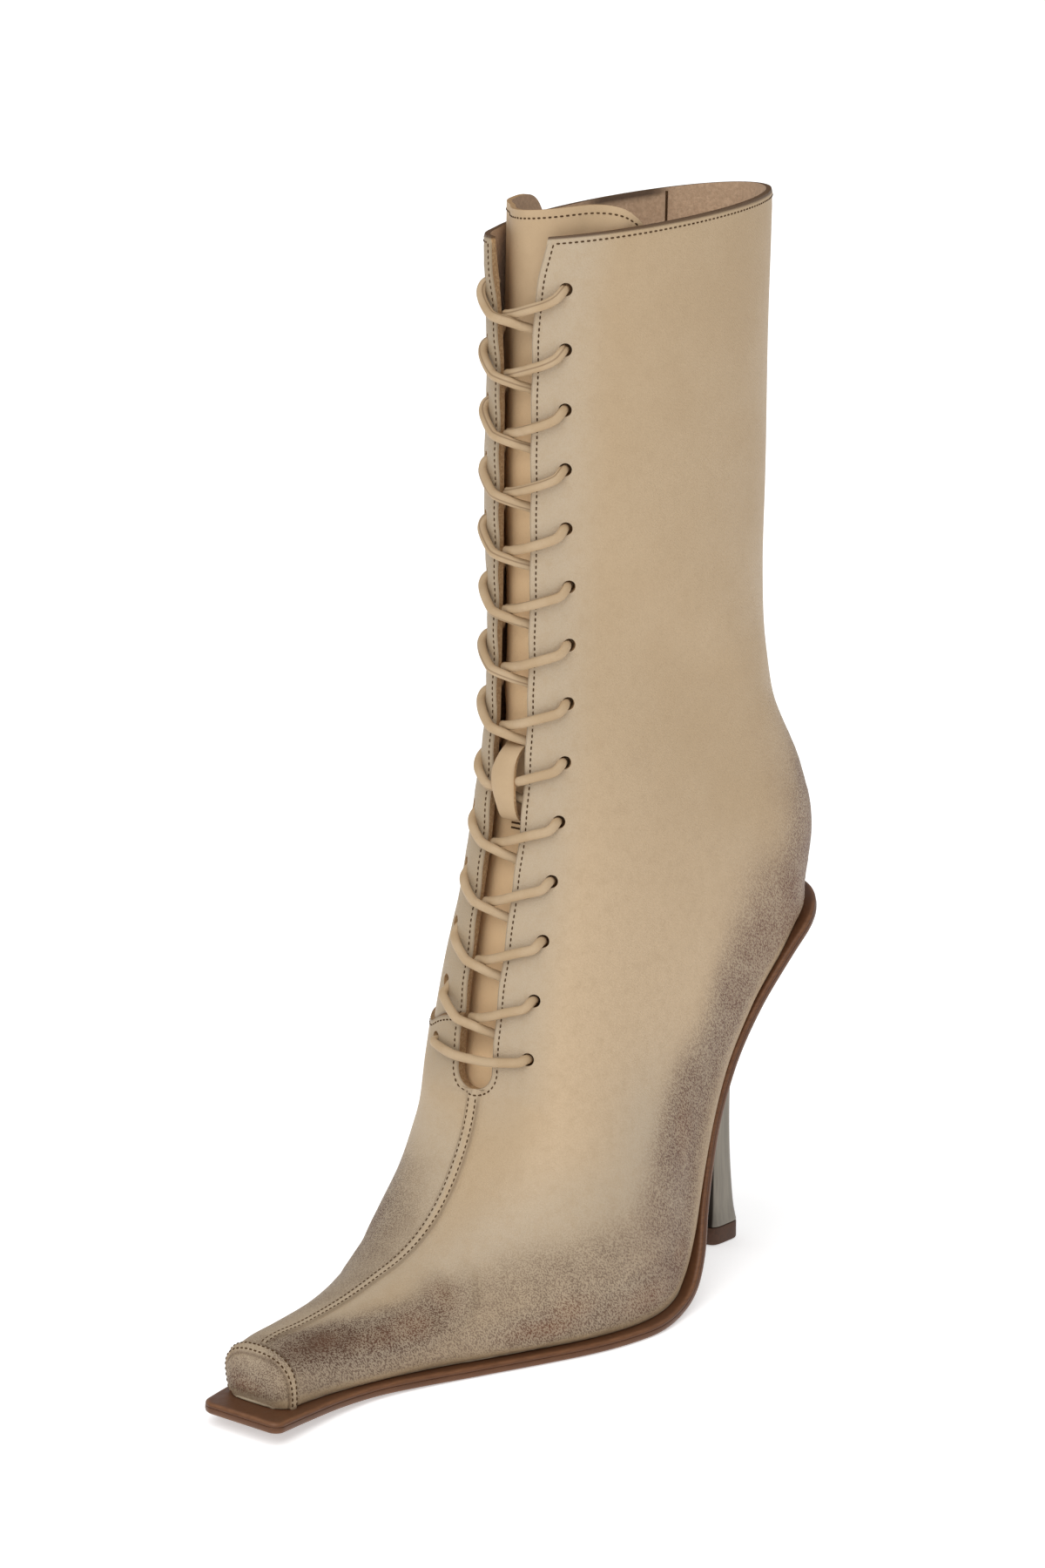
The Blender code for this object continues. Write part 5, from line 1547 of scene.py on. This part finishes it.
def build_heel(metal):
    """The slim metal heel, from its tip to the sole's underside."""
    across, ahead = heel_ring()
    numbers = np.linspace(0, len(HEEL) - 1, HEEL_LEVELS)
    share = (1 - ahead) / 2
    points = []
    for ring in (Ring(*row) for row in smooth_rows(HEEL, numbers)):
        y = ring.front_y + (ring.back_y - ring.front_y) * share
        z = ring.front_z + (ring.back_z - ring.front_z) * share
        points.append(np.stack([ring.half_width * across, y, z], axis=-1))
    points[-1][:, 2] = np.interp(points[-1][:, 1], SOLE_LINE[:, 0], SOLE_LINE[:, 1]) - HEEL_GAP
    heel = make_piece("heel_metal", np.concatenate(points), ring_faces(HEEL_LEVELS, HEEL_SIDES), (metal,),
                      "heel", ["heel"], sharp_angle=35)
    # painted shade and reflection on the heel's front face
    paint(heel, "breast_shade_and_reflection", np.tile(ease(ahead, *BREAST_EDGE), HEEL_LEVELS))


# Levels of the heel's brown tip: how far each stays inside its outline, and its height
LiftLevel = namedtuple("LiftLevel", "inset z")
LIFT_LEVELS = [LiftLevel(*row) for row in (
    (0.5, 0.0), (0.15, 0.12), (0.0, 0.5), (0.0, 5.5), (0.12, 5.85), (0.4, LIFT_HEIGHT),
)]


def build_lift(material):
    """The brown tip under the heel, with worn lower edges."""
    across, ahead = heel_ring()
    tip = HEEL[0]
    middle = (tip.front_y + tip.back_y) / 2
    half_depth = (tip.back_y - tip.front_y) / 2
    points = []
    for level in LIFT_LEVELS:
        x = (tip.half_width - level.inset) * across
        y = middle - (half_depth - level.inset) * ahead
        points.append(np.stack([x, y, np.full(HEEL_SIDES, level.z)], axis=-1))
    make_piece("heel_lift", np.concatenate(points), ring_faces(len(LIFT_LEVELS), HEEL_SIDES), (material,),
               "lift", ["top_lift"], sharp_angle=35)


def build_insole(material):
    """The sock over the insole, with a soft crown and turned-down edges."""
    across = np.linspace(-1, 1, 25)
    height = INSOLE_GAP + (INSOLE_THICKNESS - INSOLE_GAP) * (1 - INSOLE_EDGE * np.abs(across) ** 12)
    top = []
    bottom = []
    for s in np.arange(INSOLE_FROM, INSOLE_TO, 0.2):
        base = section_at(s)
        edges = [(skin(s, side) - skin_normal(s, side) * WALL)[0] - side * INSOLE_MARGIN for side in (-1, 1)]
        where = np.interp(base.base_y, [row.y for row in SOLE], np.arange(len(SOLE)))
        ahead, behind = smooth_rows(SOLE, np.clip([where + 0.05, where - 0.05], 0.0, len(SOLE) - 1.0))
        slope = ahead - behind
        up = unit(np.array([0.0, -slope[1], slope[0]]))
        x = edges[0] + (edges[1] - edges[0]) * (across + 1) / 2
        low = np.stack([x, np.full(len(x), base.base_y), np.full(len(x), base.base_z)], axis=-1)
        top.append(low + up * height[:, None])
        bottom.append(low + up * INSOLE_GAP)
    sheet_piece("insole_sock", np.array(top), np.array(bottom), (material,) * 3, "lining", ["insole"])


BEAD_RADIUS = 0.42
BEAD_TUCK = 0.35            # how far it lies inside the upper's face
BEAD_DROP = 0.05            # and below its edge
BEAD_TOE_TUCK = 0.2         # how far back it lies at the toe
BEAD_TOE_LIFT = 0.1         # and over the seat


def build_bead(material):
    """The fine pale line where the upper meets the sole, all round."""
    s = np.linspace(0.4, HEEL_BACK_ROW - 0.02, 500)
    sides = []
    for side in (1, -1):
        normal = skin_normal(s, np.full(s.shape, side))
        edge = skin(s, np.full(s.shape, float(side)))
        sides.append(edge - normal * BEAD_TUCK - np.array([0.0, 0.0, BEAD_DROP]))
    front = skin(np.full(30, 0.2), np.linspace(-0.98, 0.98, 30)) + np.array([0.0, BEAD_TOE_TUCK, 0.0])
    front[:, 2] = sole_seat(front[:, 1]) + BEAD_TOE_LIFT
    path = resample(np.concatenate([sides[0][::-1], front[::-1], sides[1]]), 1.0)
    points, faces, _ = sweep(path, BEAD_RADIUS, 8)
    make_piece("sole_bead", points, faces, (material,), "leather", sharp_angle=80)


def build_boot():
    """All the boot's visible pieces."""
    leather = leather_material()
    suede = suede_material()
    raw = raw_edge_material()
    thread = thread_material()
    soft = tongue_material()
    upper = surface_of(build_upper(leather, suede, raw))
    build_tongue(soft, suede, raw, thread)
    build_tongue_loop(soft, raw)
    build_lace(lace_material())
    build_sole(sole_material())
    build_heel(metal_material())
    build_lift(lift_material())
    build_insole(suede)
    build_bead(bead_material())
    build_stitches("facing_stitches", [facing_line(1), facing_line(-1), throat_line()], upper, thread)
    build_stitches("collar_stitches", [collar_line(1), collar_line(-1)], upper, thread)
    build_stitches("toe_seam_stitches", [centre_line(1), centre_line(-1)], upper, thread)
    build_stitches("toe_cap_stitches", [cap_line(CAP_ROW), cap_line(-CAP_ROW)], upper, thread)
    build_stitches("panel_stitches", [overlay_line()], upper, thread)
    points, faces, _ = sweep(resample(lining_seam(), 1.0), LINING_SEAM_RADIUS, 6)
    make_piece("lining_seam", points, faces, (thread,), "lace")


def build_stage():
    """A pale floor, soft studio light and the camera."""
    look = Shader("floor", Roughness=0.9, Specular_IOR_Level=0.1, Emission_Strength=FLOOR_GLOW,
                  Emission_Color=(1, 1, 1, 1))
    tint = look.mix(look.noise(3.0), (0.95, 0.95, 0.95, 1), (0.96, 0.96, 0.96, 1))
    mesh = bpy.data.meshes.new("floor")
    corners = [(x * FLOOR_SIZE, y * FLOOR_SIZE, 0) for x, y in ((-1, -1), (1, -1), (1, 1), (-1, 1))]
    mesh.from_pydata(corners, [], [(0, 1, 2, 3)])
    mesh.materials.append(look.finish(Base_Color=tint))
    floor = bpy.data.objects.new("floor", mesh)
    floor.location.z = -FLOOR_GAP
    bpy.context.scene.collection.objects.link(floor)
    world = bpy.data.worlds.new("studio")
    world.use_nodes = True
    background = world.node_tree.nodes["Background"]
    background.inputs["Color"].default_value = (1.0, 1.0, 1.0, 1)
    background.inputs["Strength"].default_value = WORLD_STRENGTH
    bpy.context.scene.world = world
    key = bpy.data.lights.new("key", "SUN")
    key.angle = math.radians(KEY_SPREAD)
    key.energy = KEY_STRENGTH
    place_object("key", key, (0, 0, 0), Vector(KEY_FROM).to_track_quat("Z", "Y"))
    front = bpy.data.lights.new("front", "AREA")
    front.size = FRONT_SIZE
    front.energy = FRONT_POWER
    aim = Vector(FRONT_AIM) - Vector(FRONT_PLACE)
    place_object("front", front, FRONT_PLACE, aim.to_track_quat("-Z", "Y"))
    add_camera()


def place_object(name, data, place, turn):
    """A light or camera at a place, turned."""
    made = bpy.data.objects.new(name, data)
    made.location = place
    made.rotation_euler = turn.to_euler()
    bpy.context.scene.collection.objects.link(made)
    return made


def add_camera():
    """The camera at the photograph's angle."""
    azimuth = math.radians(CAMERA_AZIMUTH)
    elevation = math.radians(CAMERA_ELEVATION)
    level = math.cos(elevation)
    back = Vector((math.sin(azimuth) * level, -math.cos(azimuth) * level, math.sin(elevation)))
    data = bpy.data.cameras.new("camera")
    data.lens = CAMERA_LENS
    data.sensor_width = SENSOR
    place = Vector(to_frame(CAMERA_TARGET)) + back * CAMERA_DISTANCE * MM
    bpy.context.scene.camera = place_object("camera", data, place, back.to_track_quat("Z", "Y"))


build_boot()
build_stage()
bpy.context.scene.view_settings.view_transform = "Standard"
